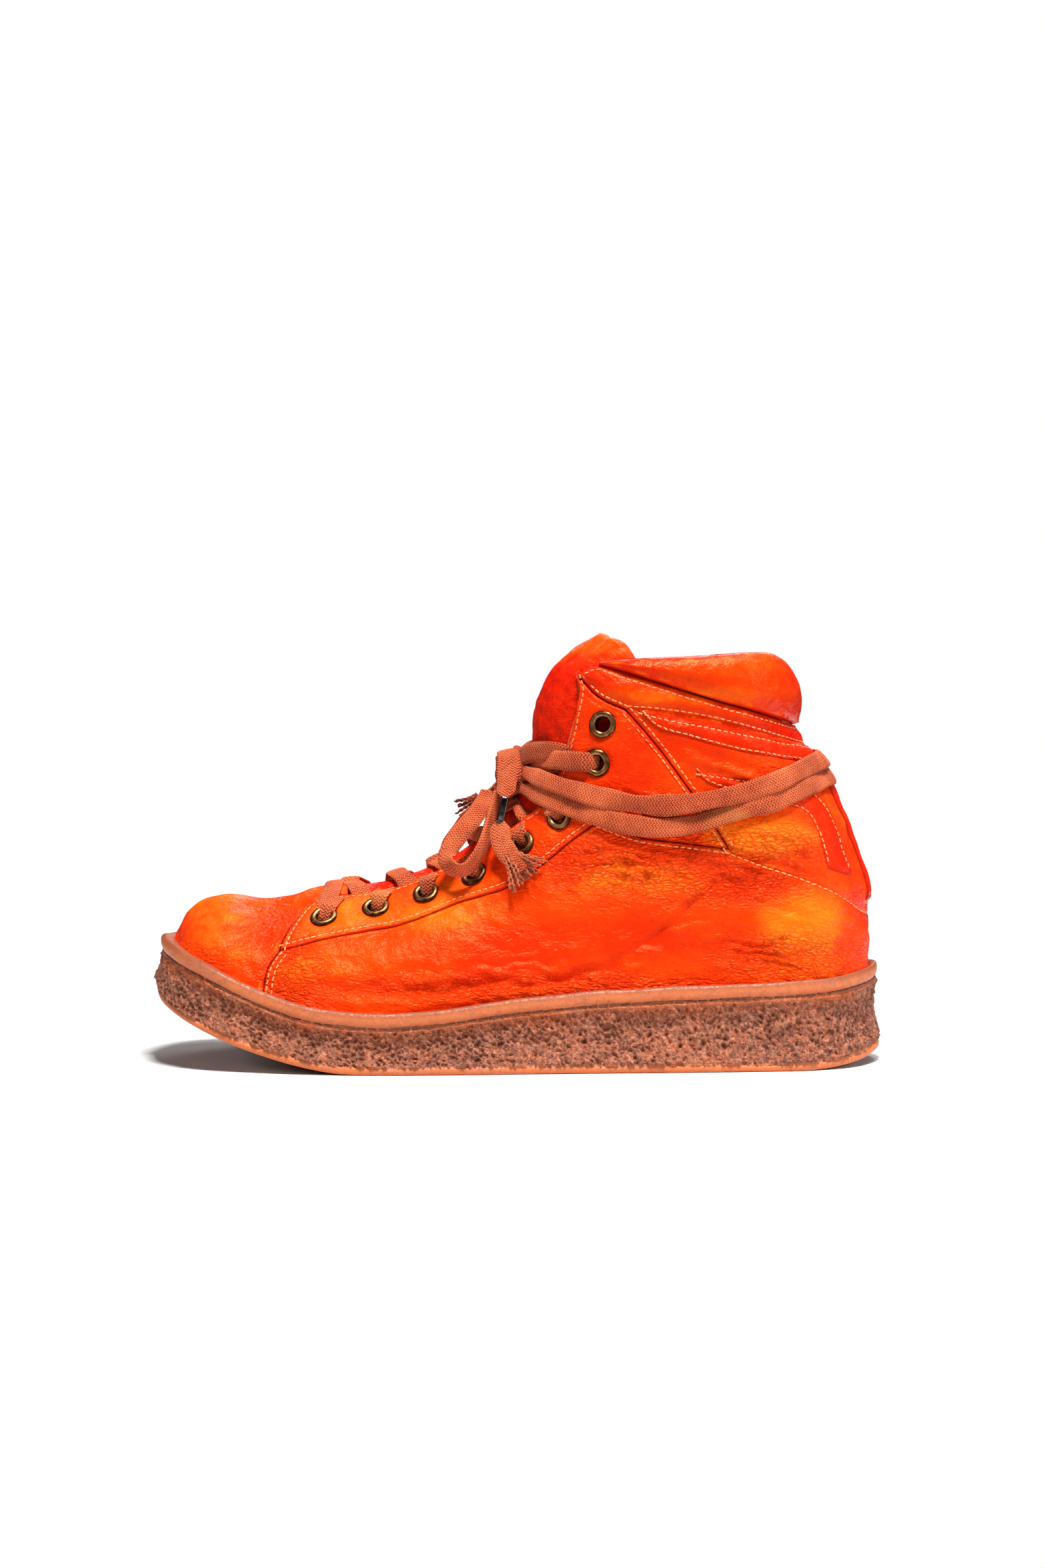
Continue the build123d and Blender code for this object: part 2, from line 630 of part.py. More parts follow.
TONGUE_SECTIONS = [  # front x, z; how far it leans back; thickness; half width
    (8.0, 129.4, 0, 7, 1.0), (7.9, 138, 3, 7, 1.0), (9.3, 147, 13, 7.5, 1.0),
    (12.6, 155.5, 24, 8.5, 0.98), (17.5, 163, 38, 9, 0.96), (25, 169.3, 50, 9, 0.93),
    (33, 174.6, 57, 8, 0.88), (37, 177.0, 58, 5, 0.78),
]
CROWN = 26.0  # radius of the tongue across the ankle


with BuildPart() as flap:
    for x, z, lean, thickness, share in TONGUE_SECTIONS:
        plane = Plane(origin=(x, 0, z), x_dir=(1, 0, 0), z_dir=(0, 0, 1)).rotated((0, lean, 0))
        reach = (TONGUE_HALF_WIDTH - 2) * share
        across = [reach * k / 3 for k in range(-3, 4)]
        tip = reach**2 / (2 * CROWN) + thickness / 2
        with BuildSketch(plane):
            with BuildLine():
                outer = Spline(*[(y * y / (2 * CROWN), y) for y in across])
                inner = Spline(*[(y * y / (2 * CROWN) + thickness, y) for y in across])
                ThreePointArc(outer @ 1, (tip, reach + 2), inner @ 1)
                ThreePointArc(outer @ 0, (tip, -reach - 2), inner @ 0)
            make_face()
    loft(ruled=True)
    for lean, reach in ((TONGUE_SWING[0] - 1, 30), (TONGUE_SWING[1] + 2, -30)):
        with Locations(Location((hinge_x, 0, hinge_z), (0, lean, 0))):
            Box(2 * abs(reach), 80, 20, align=(Align.CENTER, Align.CENTER, Align.MAX),
                mode=Mode.SUBTRACT)
keep("tongue_flap", flap.part)

# ---------------------------------------------------------------- laces
BAR_LIFT, LOWER_LIFT, UPPER_LIFT = 0.8, 2.5, 4.2
bars = []
for path in LACE_BARS:
    bars += sewn(ribbon_outline(path), BAR_LIFT + LACE_THICKNESS, BAR_LIFT).solids()
keep("lace_bars", Compound(children=bars))
KNOT = (-2.0, 0.0, 119.0)
with BuildPart() as knot:
    with Locations(KNOT):
        Box(14, 19, 15)
    fillet(knot.edges(), 4)
keep("lace_knot", knot.part - skin(BAR_LIFT + LACE_THICKNESS + 0.1))
knot_room = Pos(-10, 0, 119) * Box(80, 20.4, 60)
for name, path, lift in (
    ("lace_wrap_lower", WRAP_LOWER, LOWER_LIFT), ("lace_wrap_upper", WRAP_UPPER, UPPER_LIFT)
):
    keep(name, sewn(ribbon_outline(path), lift + LACE_THICKNESS, lift) - knot_room)


def bend_radii(places):
    """The largest bends that a route's runs allow."""
    radii = []
    for before, here, after in zip(places, places[1:], places[2:]):
        arriving = Vector(*here) - Vector(*before)
        leaving = Vector(*after) - Vector(*here)
        half_turn = radians(arriving.get_angle(leaving)) / 2
        radii.append(0.45 * min(arriving.length, leaving.length) / tan(half_turn))
    return radii


def cord(places, radius=CORD_R):
    """A round run of lace along straight lengths and tangent bends."""
    radii = bend_radii(places)
    with BuildPart() as run:
        with BuildLine():
            line = FilletPolyline(*places, radius=radii)
        with BuildSketch(Plane(origin=line @ 0, z_dir=line % 0)):
            Circle(radius)
        sweep()
    print("bends", [round(r, 1) for r in radii], "length", round(line.length, 1), end=" ")
    print("section times length", round(pi * radius**2 * line.length))
    return run.part


def mirrored(places):
    return [(x, -y, z) for x, y, z in places]


LOOP = [
    (-10.8, -5.5, 110.5), (-14.5, -12.5, 103.5), (-23, -21, 94.5), (-30, -27, 83.5),
    (-20.7, -31.5, 78.7), (-13.5, -29, 88), (-10, -21, 100), (-7, -12, 109.5),
]
FRONT_END = [(-2.5, -11.5, 124.5), (-3, -20, 115), (-7.2, -29, 94.5), (-3, -33, 86.5), (3.5, -36.5, 80.5)]
REAR_END = [(-3, 10.4, 118.5), (-3.5, 20, 118), (-8, 28, 109.5), (-16.5, 31, 104.8)]
keep("lace_loop_lateral", cord(LOOP))
keep("lace_loop_medial", cord(mirrored(LOOP)))
keep("lace_end_lateral", cord(FRONT_END))
keep("lace_end_medial", cord(REAR_END))

# The metal tip is crimped round the outer end's longest straight length.
tip_low, tip_high = Vector(*FRONT_END[2]), Vector(*FRONT_END[1])
along = (tip_high - tip_low).normalized()
with BuildPart() as aglet:
    with BuildSketch(Plane(origin=tip_low + along * TIP_START, z_dir=along)):
        Circle(CORD_R + 0.7)
        Circle(CORD_R + 0.1, mode=Mode.SUBTRACT)
    extrude(amount=TIP_LENGTH)
keep("aglet", aglet.part)
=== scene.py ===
"""High-top basketball shoe: every visible surface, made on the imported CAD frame.

Shapes are worked out in millimetres on the shoe's skin, the same tube that the CAD
model uses, and written to Blender in metres. The toe points to -X, the outer
(lateral) side is -Y, and the ground is z = 0.
"""

import math

import bpy
import numpy as np
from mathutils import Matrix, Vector
from mathutils.kdtree import KDTree


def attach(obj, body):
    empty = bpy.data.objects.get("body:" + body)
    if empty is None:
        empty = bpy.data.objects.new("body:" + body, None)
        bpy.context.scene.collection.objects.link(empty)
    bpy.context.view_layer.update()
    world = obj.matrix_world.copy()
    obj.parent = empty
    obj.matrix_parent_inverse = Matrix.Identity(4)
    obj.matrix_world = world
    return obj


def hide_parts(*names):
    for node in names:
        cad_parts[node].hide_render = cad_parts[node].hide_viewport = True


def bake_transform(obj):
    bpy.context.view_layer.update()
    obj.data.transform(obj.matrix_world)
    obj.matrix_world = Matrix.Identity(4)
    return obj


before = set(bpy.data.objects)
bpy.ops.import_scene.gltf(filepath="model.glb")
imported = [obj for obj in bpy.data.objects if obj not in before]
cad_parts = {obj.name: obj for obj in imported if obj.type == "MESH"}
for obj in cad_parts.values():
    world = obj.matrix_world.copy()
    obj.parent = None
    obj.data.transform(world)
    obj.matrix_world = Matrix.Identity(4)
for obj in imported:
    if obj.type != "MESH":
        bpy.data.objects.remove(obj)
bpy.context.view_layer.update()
MM = 0.001
FINE = 1.0  # share of the full mesh density

# ---------------------------------------------------------------- camera and light
CAMERA_DISTANCE = 1.25
CAMERA_RISE = math.radians(2.5)
LOOK_AT = Vector((0.003, 0, 0.114))  # centre of the picture
PICTURE_HEIGHT = 0.650  # of the plane through the shoe's middle

camera_data = bpy.data.cameras.new("camera")
camera = bpy.data.objects.new("camera", camera_data)
bpy.context.scene.collection.objects.link(camera)
bpy.context.scene.camera = camera
camera.location = LOOK_AT + CAMERA_DISTANCE * Vector(
    (0, -math.cos(CAMERA_RISE), math.sin(CAMERA_RISE))
)
camera.rotation_euler = (LOOK_AT - camera.location).to_track_quat("-Z", "Y").to_euler()
camera_data.sensor_fit = "VERTICAL"
camera_data.sensor_height = 36
camera_data.lens = 36 * CAMERA_DISTANCE / PICTURE_HEIGHT

# ---------------------------------------------------------------- making meshes
def unit(v):
    return v / np.maximum(np.linalg.norm(v, axis=-1, keepdims=True), 1e-12)


def new_mesh(name, points, faces, material, replaces=(), body="shoe"):
    """A closed mesh from points in millimetres, riding on a CAD body."""
    mesh = bpy.data.meshes.new(name)
    mesh.from_pydata((np.asarray(points) * MM).tolist(), [], [list(map(int, f)) for f in faces])
    mesh.validate()
    mesh.shade_smooth()
    mesh.materials.append(material)
    piece = bpy.data.objects.new(name, mesh)
    bpy.context.scene.collection.objects.link(piece)
    if body:
        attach(piece, body)
    if replaces:
        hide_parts(*replaces)
    return piece


def point_value(piece, name, values):
    """Store one number per point for the materials to read."""
    layer = piece.data.attributes.new(name, "FLOAT", "POINT")
    layer.data.foreach_set("value", np.asarray(values, np.float32))


def tube_faces(rings, around, first=0, closed=False):
    """Faces of a tube of rings of points, with its ends capped unless it closes."""
    ring = np.arange(rings - (0 if closed else 1))[:, None]
    k = np.arange(around)[None, :]
    a = ring * around + k
    b = ring * around + (k + 1) % around
    step = around
    quads = np.stack([a, b, b + step, a + step], -1).reshape(-1, 4) % (rings * around)
    faces = [tuple(q) for q in (quads + first).tolist()]
    if not closed:
        faces.append(tuple(range(first + around - 1, first - 1, -1)))
        end = first + (rings - 1) * around
        faces.append(tuple(range(end, end + around)))
    return faces


def resampled(line, step):
    """Points evenly spaced along a line of points."""
    along = np.concatenate([[0], np.cumsum(np.linalg.norm(np.diff(line, axis=0), axis=1))])
    at = np.linspace(0, along[-1], max(3, round(along[-1] / step)))
    return np.stack([np.interp(at, along, line[:, k]) for k in range(line.shape[1])], -1)


def curve(knots, at):
    """Smooth curve through knots of (place, value, ...), read at some places."""
    knots = np.array(knots, float)
    place, value = knots[:, 0], knots[:, 1:]
    slope = np.empty_like(value)
    slope[1:-1] = (value[2:] - value[:-2]) / (place[2:] - place[:-2])[:, None]
    slope[0] = (value[1] - value[0]) / (place[1] - place[0])
    slope[-1] = (value[-1] - value[-2]) / (place[-1] - place[-2])
    at = np.asarray(at, float)
    i = np.clip(np.searchsorted(place, at) - 1, 0, len(place) - 2)
    span = (place[i + 1] - place[i])[..., None]
    t = np.clip((at - place[i])[..., None] / span, 0, 1)
    found = (
        value[i] * (2 * t**3 - 3 * t**2 + 1)
        + value[i + 1] * (3 * t**2 - 2 * t**3)
        + slope[i] * span * (t**3 - 2 * t**2 + t)
        + slope[i + 1] * span * (t**3 - t**2)
    )
    return found[..., 0] if found.shape[-1] == 1 else found


def waves(seed, size, count=28, stretch=(1, 1, 1)):
    """A smooth random field over space, about -1 to 1, with features of one size."""
    local = np.random.default_rng(seed)
    k = unit(local.normal(size=(count, 3))) * (2 * math.pi / size)
    k *= local.uniform(0.6, 1.5, (count, 1)) / np.array(stretch)
    phase = local.uniform(0, 2 * math.pi, count)

    def field(p):
        return np.sin(p @ k.T + phase).sum(-1) * (1.2 / math.sqrt(count))

    return field


# ---------------------------------------------------------------- materials
def srgb(*levels):
    """A colour from its usual 0 to 255 levels."""
    shares = [v / 255 for v in levels]
    return tuple(v / 12.92 if v <= 0.04045 else ((v + 0.055) / 1.055) ** 2.4 for v in shares)


class Finish:
    """A procedural material; its methods add nodes and return their outputs."""

    def __init__(self, name, **shader):
        self.material = bpy.data.materials.new(name)
        self.material.use_nodes = True
        self.tree = self.material.node_tree
        self.shader = self.tree.nodes["Principled BSDF"]
        for key, value in shader.items():
            self.shader.inputs[key.replace("_", " ")].default_value = value
        self.place = self.node("ShaderNodeTexCoord").outputs["Object"]

    def node(self, kind, inputs=(), **settings):
        made = self.tree.nodes.new(kind)
        for key, value in settings.items():
            setattr(made, key, value)
        for key, value in dict(inputs).items():
            if isinstance(value, bpy.types.NodeSocket):
                self.tree.links.new(value, made.inputs[key])
            else:
                made.inputs[key].default_value = value
        return made

    def calc(self, operation, a, b=0.0):
        return self.node("ShaderNodeMath", {0: a, 1: b}, operation=operation).outputs[0]

    def plus(self, *values):
        total = values[0]
        for value in values[1:]:
            total = self.calc("ADD", total, value)
        return total

    def times(self, a, b):
        return self.calc("MULTIPLY", a, b)

    def stretched(self, x, y, z, turn=(0, 0, 0)):
        """Object coordinates stretched and turned, for grain that runs one way."""
        inputs = {"Vector": self.place, "Scale": (x, y, z), "Rotation": turn}
        return self.node("ShaderNodeMapping", inputs).outputs[0]

    def warped(self, place, size, amount):
        """Coordinates pushed about by up to `amount` millimetres of cloudy noise."""
        inputs = {"Vector": self.place, "Scale": 1000 / size}
        color = self.node("ShaderNodeTexNoise", inputs).outputs["Color"]
        push = {0: color, 1: (2 * amount * MM,) * 3, 2: (-amount * MM,) * 3}
        moved = self.node("ShaderNodeVectorMath", push, operation="MULTIPLY_ADD").outputs[0]
        return self.node("ShaderNodeVectorMath", {0: place, 1: moved}, operation="ADD").outputs[0]

    def noise(self, size, detail=3.0, rough=0.5, twist=0.0, place=None):
        """Cloudy noise, 0 to 1, with features of about `size` millimetres."""
        inputs = {
            "Vector": place or self.place, "Scale": 1000 / size, "Detail": detail,
            "Roughness": rough, "Distortion": twist,
        }
        return self.node("ShaderNodeTexNoise", inputs).outputs["Fac"]

    def cells(self, size, feature="F1", place=None, jitter=1.0):
        inputs = {"Vector": place or self.place, "Scale": 1000 / size, "Randomness": jitter}
        return self.node("ShaderNodeTexVoronoi", inputs, feature=feature).outputs["Distance"]

    def value(self, name):
        return self.node("ShaderNodeAttribute", attribute_name=name).outputs["Fac"]

    def remap(self, value, low, high, to_low=0.0, to_high=1.0):
        inputs = {0: value, 1: low, 2: high, 3: to_low, 4: to_high}
        return self.node("ShaderNodeMapRange", inputs, clamp=True).outputs[0]

    def ramp(self, value, *stops):
        made = self.node("ShaderNodeValToRGB", {0: value})
        elements = made.color_ramp.elements
        while len(elements) < len(stops):
            elements.new(1.0)
        for element, (place, color) in zip(elements, sorted(stops)):
            element.position = place
            element.color = (*color, 1)
        return made.outputs[0]

    def mix(self, share, a, b, blend="MIX"):
        made = self.node("ShaderNodeMix", data_type="RGBA", blend_type=blend)
        for key, value in ((0, share), (6, a), (7, b)):
            if isinstance(value, bpy.types.NodeSocket):
                self.tree.links.new(value, made.inputs[key])
            else:
                made.inputs[key].default_value = value if key == 0 else (*value, 1)
        return made.outputs[2]

    def use(self, **sockets):
        for key, value in sockets.items():
            self.tree.links.new(value, self.shader.inputs[key.replace("_", " ")])

    def bump(self, height, distance, strength=1.0):
        """Raise the surface by height, where 1 is `distance` millimetres."""
        inputs = {"Height": height, "Distance": distance * MM, "Strength": strength}
        self.use(Normal=self.node("ShaderNodeBump", inputs).outputs[0])


def leather(name, deep, usual, bright, rough=0.4, cracks=1.0):
    """Burnished leather: cloudy dyed colour, with painted shade in its folds and beside its seams
    and painted highlights on its swellings and edge shoulders, crazed where it bends.
    """
    f = Finish(name, Specular_IOR_Level=0.32, Specular_Tint=(1, 0.42, 0.1, 1))
    cloud = f.noise(40, 3, 0.5)
    mottle = f.noise(7, 5, 0.6)
    swell = f.value("swell")
    fine = f.noise(2.4, 4, 0.65)
    tone = f.plus(
        # raised relief (swell) is coloured paler: a painted highlight on the bulges
        f.times(cloud, 0.34), f.times(mottle, 0.2), f.times(fine, 0.18), f.times(swell, 0.1),
        # the stored paler-or-deeper value: partly uneven dyeing, partly painted highlights and
        # painted shade
        f.times(f.value("dye_and_painted_light"), 0.3), 0.07,
    )
    color = f.ramp(tone, (0.26, deep), (0.5, usual), (0.76, bright))
    edge = f.value("edge")
    # painted shade: deeper colour within about 9 mm of a panel's edge, beside its seams
    seam_shade = f.times(f.remap(edge, 0.8, 9.0, 1.0, 0.0), f.remap(cloud, 0.36, 0.58))
    color = f.mix(f.times(seam_shade, 0.55), color, deep)
    crease = f.value("crease")
    # painted shade: deeper colour in the creases, channels and stitch grooves, darkest in the
    # deepest
    color = f.mix(f.times(f.remap(crease, 0.1, 1.0), 0.4), color, deep)
    color = f.mix(f.times(f.remap(crease, 0.9, 1.9), 0.15), color, EDGE_AND_SHADE_RED)
    color = f.mix(f.times(f.remap(edge, 0.1, 1.0, 1.0, 0.0), 0.8), color, EDGE_AND_SHADE_RED)
    flex = f.value("flex")
    grained = f.warped(f.stretched(0.46, 0.46, 1.0, (0, 0.2, 0)), 7, 1.2)
    ridges = f.calc("ABSOLUTE", f.plus(f.noise(4.2, 4, 0.6, 1.2, grained), -0.5))
    wrinkle = f.times(f.remap(ridges, 0.0, 0.035, 1.0, 0.0), f.remap(flex, 0.05, 0.7))
    wrinkle = f.times(wrinkle, f.remap(f.noise(12, 3), 0.32, 0.55))
    # painted shade in the fine wrinkle lines
    color = f.mix(f.times(wrinkle, 0.14 * cracks), color, EDGE_AND_SHADE_RED)
    puckers = f.calc("ABSOLUTE", f.plus(f.noise(11, 4, 0.55, 1.2, grained), -0.5))
    pucker = f.times(f.remap(puckers, 0.0, 0.12, 1.0, 0.0), f.remap(flex, 0.0, 0.4, 0.4, 1.0))
    border = f.cells(1.6, "DISTANCE_TO_EDGE", grained)
    worked = f.remap(flex, 0.0, 0.6, 0.1, 1.0)
    crazed = f.times(f.remap(border, 0.0, 0.17, 1.0, 0.0), worked)
    # painted shade along the sunken crackle lines
    color = f.mix(f.times(crazed, 0.6 * cracks), color, deep)
    pillow = f.times(f.remap(border, 0.0, 0.4), worked)
    speck = f.remap(f.noise(1.3, 4, 0.7), 0.35, 0.3)
    color = f.mix(f.times(speck, 0.3), color, deep)
    # paler band on each edge's rounded shoulder, 0.9 to 2.4 mm in: partly wear from rubbing, partly
    # painted highlight
    rubbed_wear_and_highlight = f.times(f.remap(edge, 0.9, 1.5), f.remap(edge, 1.5, 2.4, 1.0, 0.0))
    rubbed_wear_and_highlight = f.times(rubbed_wear_and_highlight, f.remap(f.noise(7, 3), 0.5, 0.62))
    color = f.mix(f.times(rubbed_wear_and_highlight, 0.6), color, bright)
    f.use(Base_Color=color, Roughness=f.plus(rough - 0.14, f.times(mottle, 0.2)))
    height = f.plus(
        f.times(f.cells(0.8), 0.08), f.times(f.noise(1.5, 4, 0.7), 0.22),
        f.times(f.noise(5, 3), 0.9), f.times(f.noise(13, 2), 1.6), f.times(pucker, -0.4 * cracks),
        f.times(wrinkle, -0.45 * cracks), f.times(crazed, -0.3 * cracks),
        f.times(pillow, 0.4 * cracks),
    )
    f.bump(height, 1.0)
    return f.material


ORANGE = srgb(242, 60, 4)
ORANGE_LIGHT = srgb(252, 112, 14)
ORANGE_DEEP = srgb(228, 38, 3)
RED = srgb(218, 28, 3)
RED_DEEP = srgb(184, 8, 2)
# dark red of the cut edges, also used as painted shade in deep creases and wrinkle lines
EDGE_AND_SHADE_RED = srgb(140, 8, 2)

UPPER = leather("upper_orange", ORANGE_DEEP, ORANGE, ORANGE_LIGHT)
TOE = leather("toe_orange", ORANGE_DEEP, ORANGE, ORANGE_LIGHT, rough=0.36, cracks=0.5)
TRIM = leather("trim_red_orange", RED, srgb(226, 36, 3), srgb(240, 68, 6), cracks=0.6)
TONGUE_SKIN = leather("tongue_orange", RED_DEEP, srgb(226, 36, 3), srgb(249, 96, 12), cracks=0.4)
ROLL_SKIN = leather("collar_orange", RED, srgb(238, 58, 4), ORANGE_LIGHT, rough=0.32, cracks=0.2)


def crepe(name, brown, usual, dusty, amber):
    """Gum crepe: a smooth dusty rim, amber by the stitches, wrinkles below with painted glints on
    their ridges.
    """
    f = Finish(name, Specular_IOR_Level=0.5, Subsurface_Weight=0.05, Subsurface_Scale=0.003)
    wall = f.value("wall")
    depth = f.value("depth")
    cloud = f.noise(24, 4, 0.6)
    fine = f.noise(2.0, 5, 0.68, 1.2)
    ridges = f.calc("ABSOLUTE", f.plus(f.noise(2.6, 4, 0.62, 1.6), -0.5))
    ridge_and_painted_glint = f.times(f.remap(ridges, 0.0, 0.06, 1.0, 0.0), f.remap(fine, 0.4, 0.62))
    crumb = f.remap(f.plus(f.times(fine, 0.8), f.times(cloud, 0.2)), 0.43, 0.57)
    rough_wall = f.mix(crumb, brown, usual)
    # painted glints: pale pink on the fine ridge lines
    rough_wall = f.mix(f.times(ridge_and_painted_glint, 0.85), rough_wall, dusty)
    # painted highlights: the crests of the wormy relief made pale pink
    rough_wall = f.mix(f.times(f.remap(f.value("worm"), 0.0, 0.3, 1.0, 0.0), 0.5), rough_wall, dusty)
    rim = f.mix(f.remap(fine, 0.4, 0.6, 0.0, 0.45), srgb(210, 116, 72), brown)
    smooth = f.mix(f.remap(cloud, 0.35, 0.65), rim, srgb(212, 112, 52))
    color = f.mix(wall, smooth, rough_wall)
    near_stitch = f.times(f.remap(depth, 3.0, 5.0), f.remap(depth, 7.0, 13.0, 1.0, 0.0))
    patchy = f.remap(f.plus(f.noise(20, 3), f.times(fine, 0.3)), 0.52, 0.72, 0.25, 1.0)
    color = f.mix(f.times(f.times(near_stitch, patchy), 0.8), color, amber)
    # painted shade: browner in the groove where the rim stitches sit
    color = f.mix(f.times(f.value("groove"), 0.35), color, brown)
    color = f.mix(f.times(f.value("low"), 0.75), color, amber)
    # painted shade: the rim's top face made browner, fading out 2.4 mm below it, against the strong
    # top light
    color = f.mix(f.remap(depth, 0.3, 2.4, 0.75, 0.0), color, brown)
    f.use(Base_Color=color, Roughness=f.plus(0.34, f.times(fine, 0.25)))
    height = f.plus(f.times(fine, 1.0), f.times(ridge_and_painted_glint, 0.9), f.times(f.cells(1.3), 0.5))
    f.bump(f.times(height, f.plus(0.08, f.times(wall, 0.92))), 1.1)
    return f.material


CREPE = crepe(
    "crepe_rubber", srgb(108, 46, 24), srgb(214, 116, 72), srgb(252, 182, 148), srgb(206, 92, 28)
)


def cotton(name, dark, usual, pale):
    """Flat braided cotton: herringbone ribs, brown shading and pale patches worn by rubbing."""
    f = Finish(name, Specular_IOR_Level=0.15, Sheen_Weight=0.12, Sheen_Tint=(1, 0.6, 0.4, 1))
    along, across = f.value("along"), f.value("across")
    zig = f.calc("PINGPONG", across, 1.0)
    phase = f.times(f.plus(along, zig, f.times(f.noise(1.6, 2), 0.5)), 2 * math.pi / 1.25)
    ribs = f.plus(f.times(f.calc("SINE", phase), 0.5), 0.5)
    valleys = f.remap(f.calc("ABSOLUTE", f.plus(zig, -0.5)), 0.3, 0.5)
    fuzz = f.noise(0.5, 3, 0.7)
    cloud = f.noise(16, 4, 0.6)
    # rib crests coloured paler and their valleys deeper: painted light and shade on the weave
    tone = f.plus(f.times(cloud, 0.7), f.times(ribs, 0.34), f.times(fuzz, 0.3), -0.17)
    color = f.ramp(tone, (0.28, dark), (0.52, usual), (0.78, pale))
    bleached = f.remap(f.noise(27, 2), 0.62, 0.72)
    color = f.mix(f.times(bleached, 0.45), color, srgb(206, 130, 70))
    f.use(Base_Color=color)
    f.shader.inputs["Roughness"].default_value = 0.85
    height = f.plus(f.times(ribs, 0.7), f.times(valleys, -0.35), f.times(fuzz, 0.7))
    f.bump(height, 0.5)
    return f.material


COTTON = cotton("lace_cotton", srgb(122, 42, 20), srgb(206, 84, 46), srgb(234, 124, 74))
# painted shade: a darker copy of the lace cotton for the lace under, inside and behind the knot
COTTON_SHADED = cotton("lace_cotton_shaded", srgb(96, 30, 16), srgb(172, 64, 34), srgb(208, 100, 58))


def yarn(name, dark, light):
    f = Finish(name, Specular_IOR_Level=0.15, Sheen_Weight=0.2)
    twist = f.noise(1.2, 3, 0.6)
    f.use(Base_Color=f.ramp(f.plus(f.times(twist, 0.6), f.times(f.noise(9, 2), 0.4)),
                            (0.35, dark), (0.65, light)))
    f.shader.inputs["Roughness"].default_value = 0.9
    f.bump(f.noise(0.4, 2), 0.1)
    return f.material


THREAD = yarn("thread_pale", srgb(226, 104, 48), srgb(252, 172, 112))
RIM_THREAD = yarn("thread_brown", srgb(64, 30, 20), srgb(128, 76, 50))
# painted shade: a darker copy of the frayed cotton for the rear lace end's fray
FRAY_SHADED = yarn("frayed_cotton_shaded", srgb(70, 26, 16), srgb(150, 66, 40))
FRAY = yarn("frayed_cotton", srgb(124, 50, 28), srgb(204, 104, 60))


def metal(name, dark, usual, bright, rough):
    """Worn metal: dark in its hollows, partly patina and partly painted shade; bright on its raised
    rims, partly worn by rubbing and partly painted highlight.
    """
    f = Finish(name, Metallic=1.0)
    patina = f.noise(2.4, 5, 0.7)
    rub_and_highlight = f.value("rub_and_highlight")
    # paler where raised: wear from rubbing and painted highlight; deeper in the hollows: patina and
    # painted shade
    tone = f.plus(f.times(patina, 0.7), f.times(rub_and_highlight, 0.45), -0.05)
    color = f.ramp(tone, (0.3, dark), (0.55, usual), (0.82, bright))
    f.use(Base_Color=color, Roughness=f.plus(rough, f.times(patina, 0.22)))
    f.bump(f.noise(0.9, 4, 0.7), 0.06)
    return f.material


BRASS = metal("antique_brass", srgb(20, 12, 8), srgb(62, 38, 22), srgb(164, 116, 72), 0.26)
STEEL = metal("dark_steel", srgb(30, 24, 24), srgb(96, 84, 82), srgb(210, 200, 196), 0.1)


def cloth(name, dark, light, pitch=0.9):
    """Plain woven lining cloth."""
    f = Finish(name, Specular_IOR_Level=0.2, Sheen_Weight=0.15)
    x, y, z = (f.node("ShaderNodeSeparateXYZ", {0: f.place}).outputs[k] for k in range(3))
    warp = f.calc("SINE", f.times(f.plus(x, y), 2000 * math.pi / pitch))
    weft = f.calc("SINE", f.times(f.plus(z, f.times(y, 0.3)), 2000 * math.pi / pitch))
    weave = f.times(warp, weft)
    cloud = f.noise(24, 4, 0.6)
    tone = f.plus(f.times(cloud, 0.8), f.times(weave, 0.08), 0.1)
    f.use(Base_Color=f.ramp(tone, (0.35, dark), (0.7, light)))
    f.shader.inputs["Roughness"].default_value = 0.8
    f.bump(f.plus(f.times(weave, 0.5), f.times(f.noise(0.6, 2), 0.5)), 0.12)
    return f.material


LINING_CLOTH = cloth("lining_cloth", srgb(150, 66, 36), srgb(206, 112, 66))
FOOTBED_CLOTH = cloth("footbed_cloth", srgb(120, 58, 36), srgb(186, 106, 70), 1.2)


def plain(name, dark, light, size, depth, rough=0.8):
    """A hidden core material with its own grain."""
    f = Finish(name, Specular_IOR_Level=0.25)
    grain = f.noise(size, 5, 0.65)
    f.use(Base_Color=f.ramp(grain, (0.35, dark), (0.68, light)))
    f.shader.inputs["Roughness"].default_value = rough
    f.bump(f.plus(grain, f.times(f.cells(size * 0.6), 0.6)), depth)
    return f.material


FOAM = plain("foam", srgb(190, 170, 120), srgb(226, 208, 160), 1.4, 0.5, 0.95)
BOARD = plain("fibre_board", srgb(126, 92, 60), srgb(170, 132, 92), 2.0, 0.15)
SPRING = plain("spring_steel", srgb(110, 112, 116), srgb(170, 172, 176), 4.0, 0.05, 0.35)


# ---------------------------------------------------------------- free laces' routes
LACE_WIDTH = 8.0
LACE_THICKNESS = 1.4
LOOP = [
    (-10.8, -5.5, 110.5), (-14.5, -12.5, 103.5), (-23, -21, 94.5), (-30, -27, 83.5),
    (-20.7, -31.5, 78.7), (-13.5, -29, 88), (-10, -21, 100), (-7, -12, 109.5),
]
FRONT_END = [
    (-2.5, -11.5, 124.5), (-3, -20, 115), (-7.2, -29, 94.5), (-3, -33, 86.5),
    (3.5, -36.5, 80.5),
]
REAR_END = [(-3, 10.4, 118.5), (-3.5, 20, 118), (-8, 28, 109.5), (-16.5, 31, 104.8)]


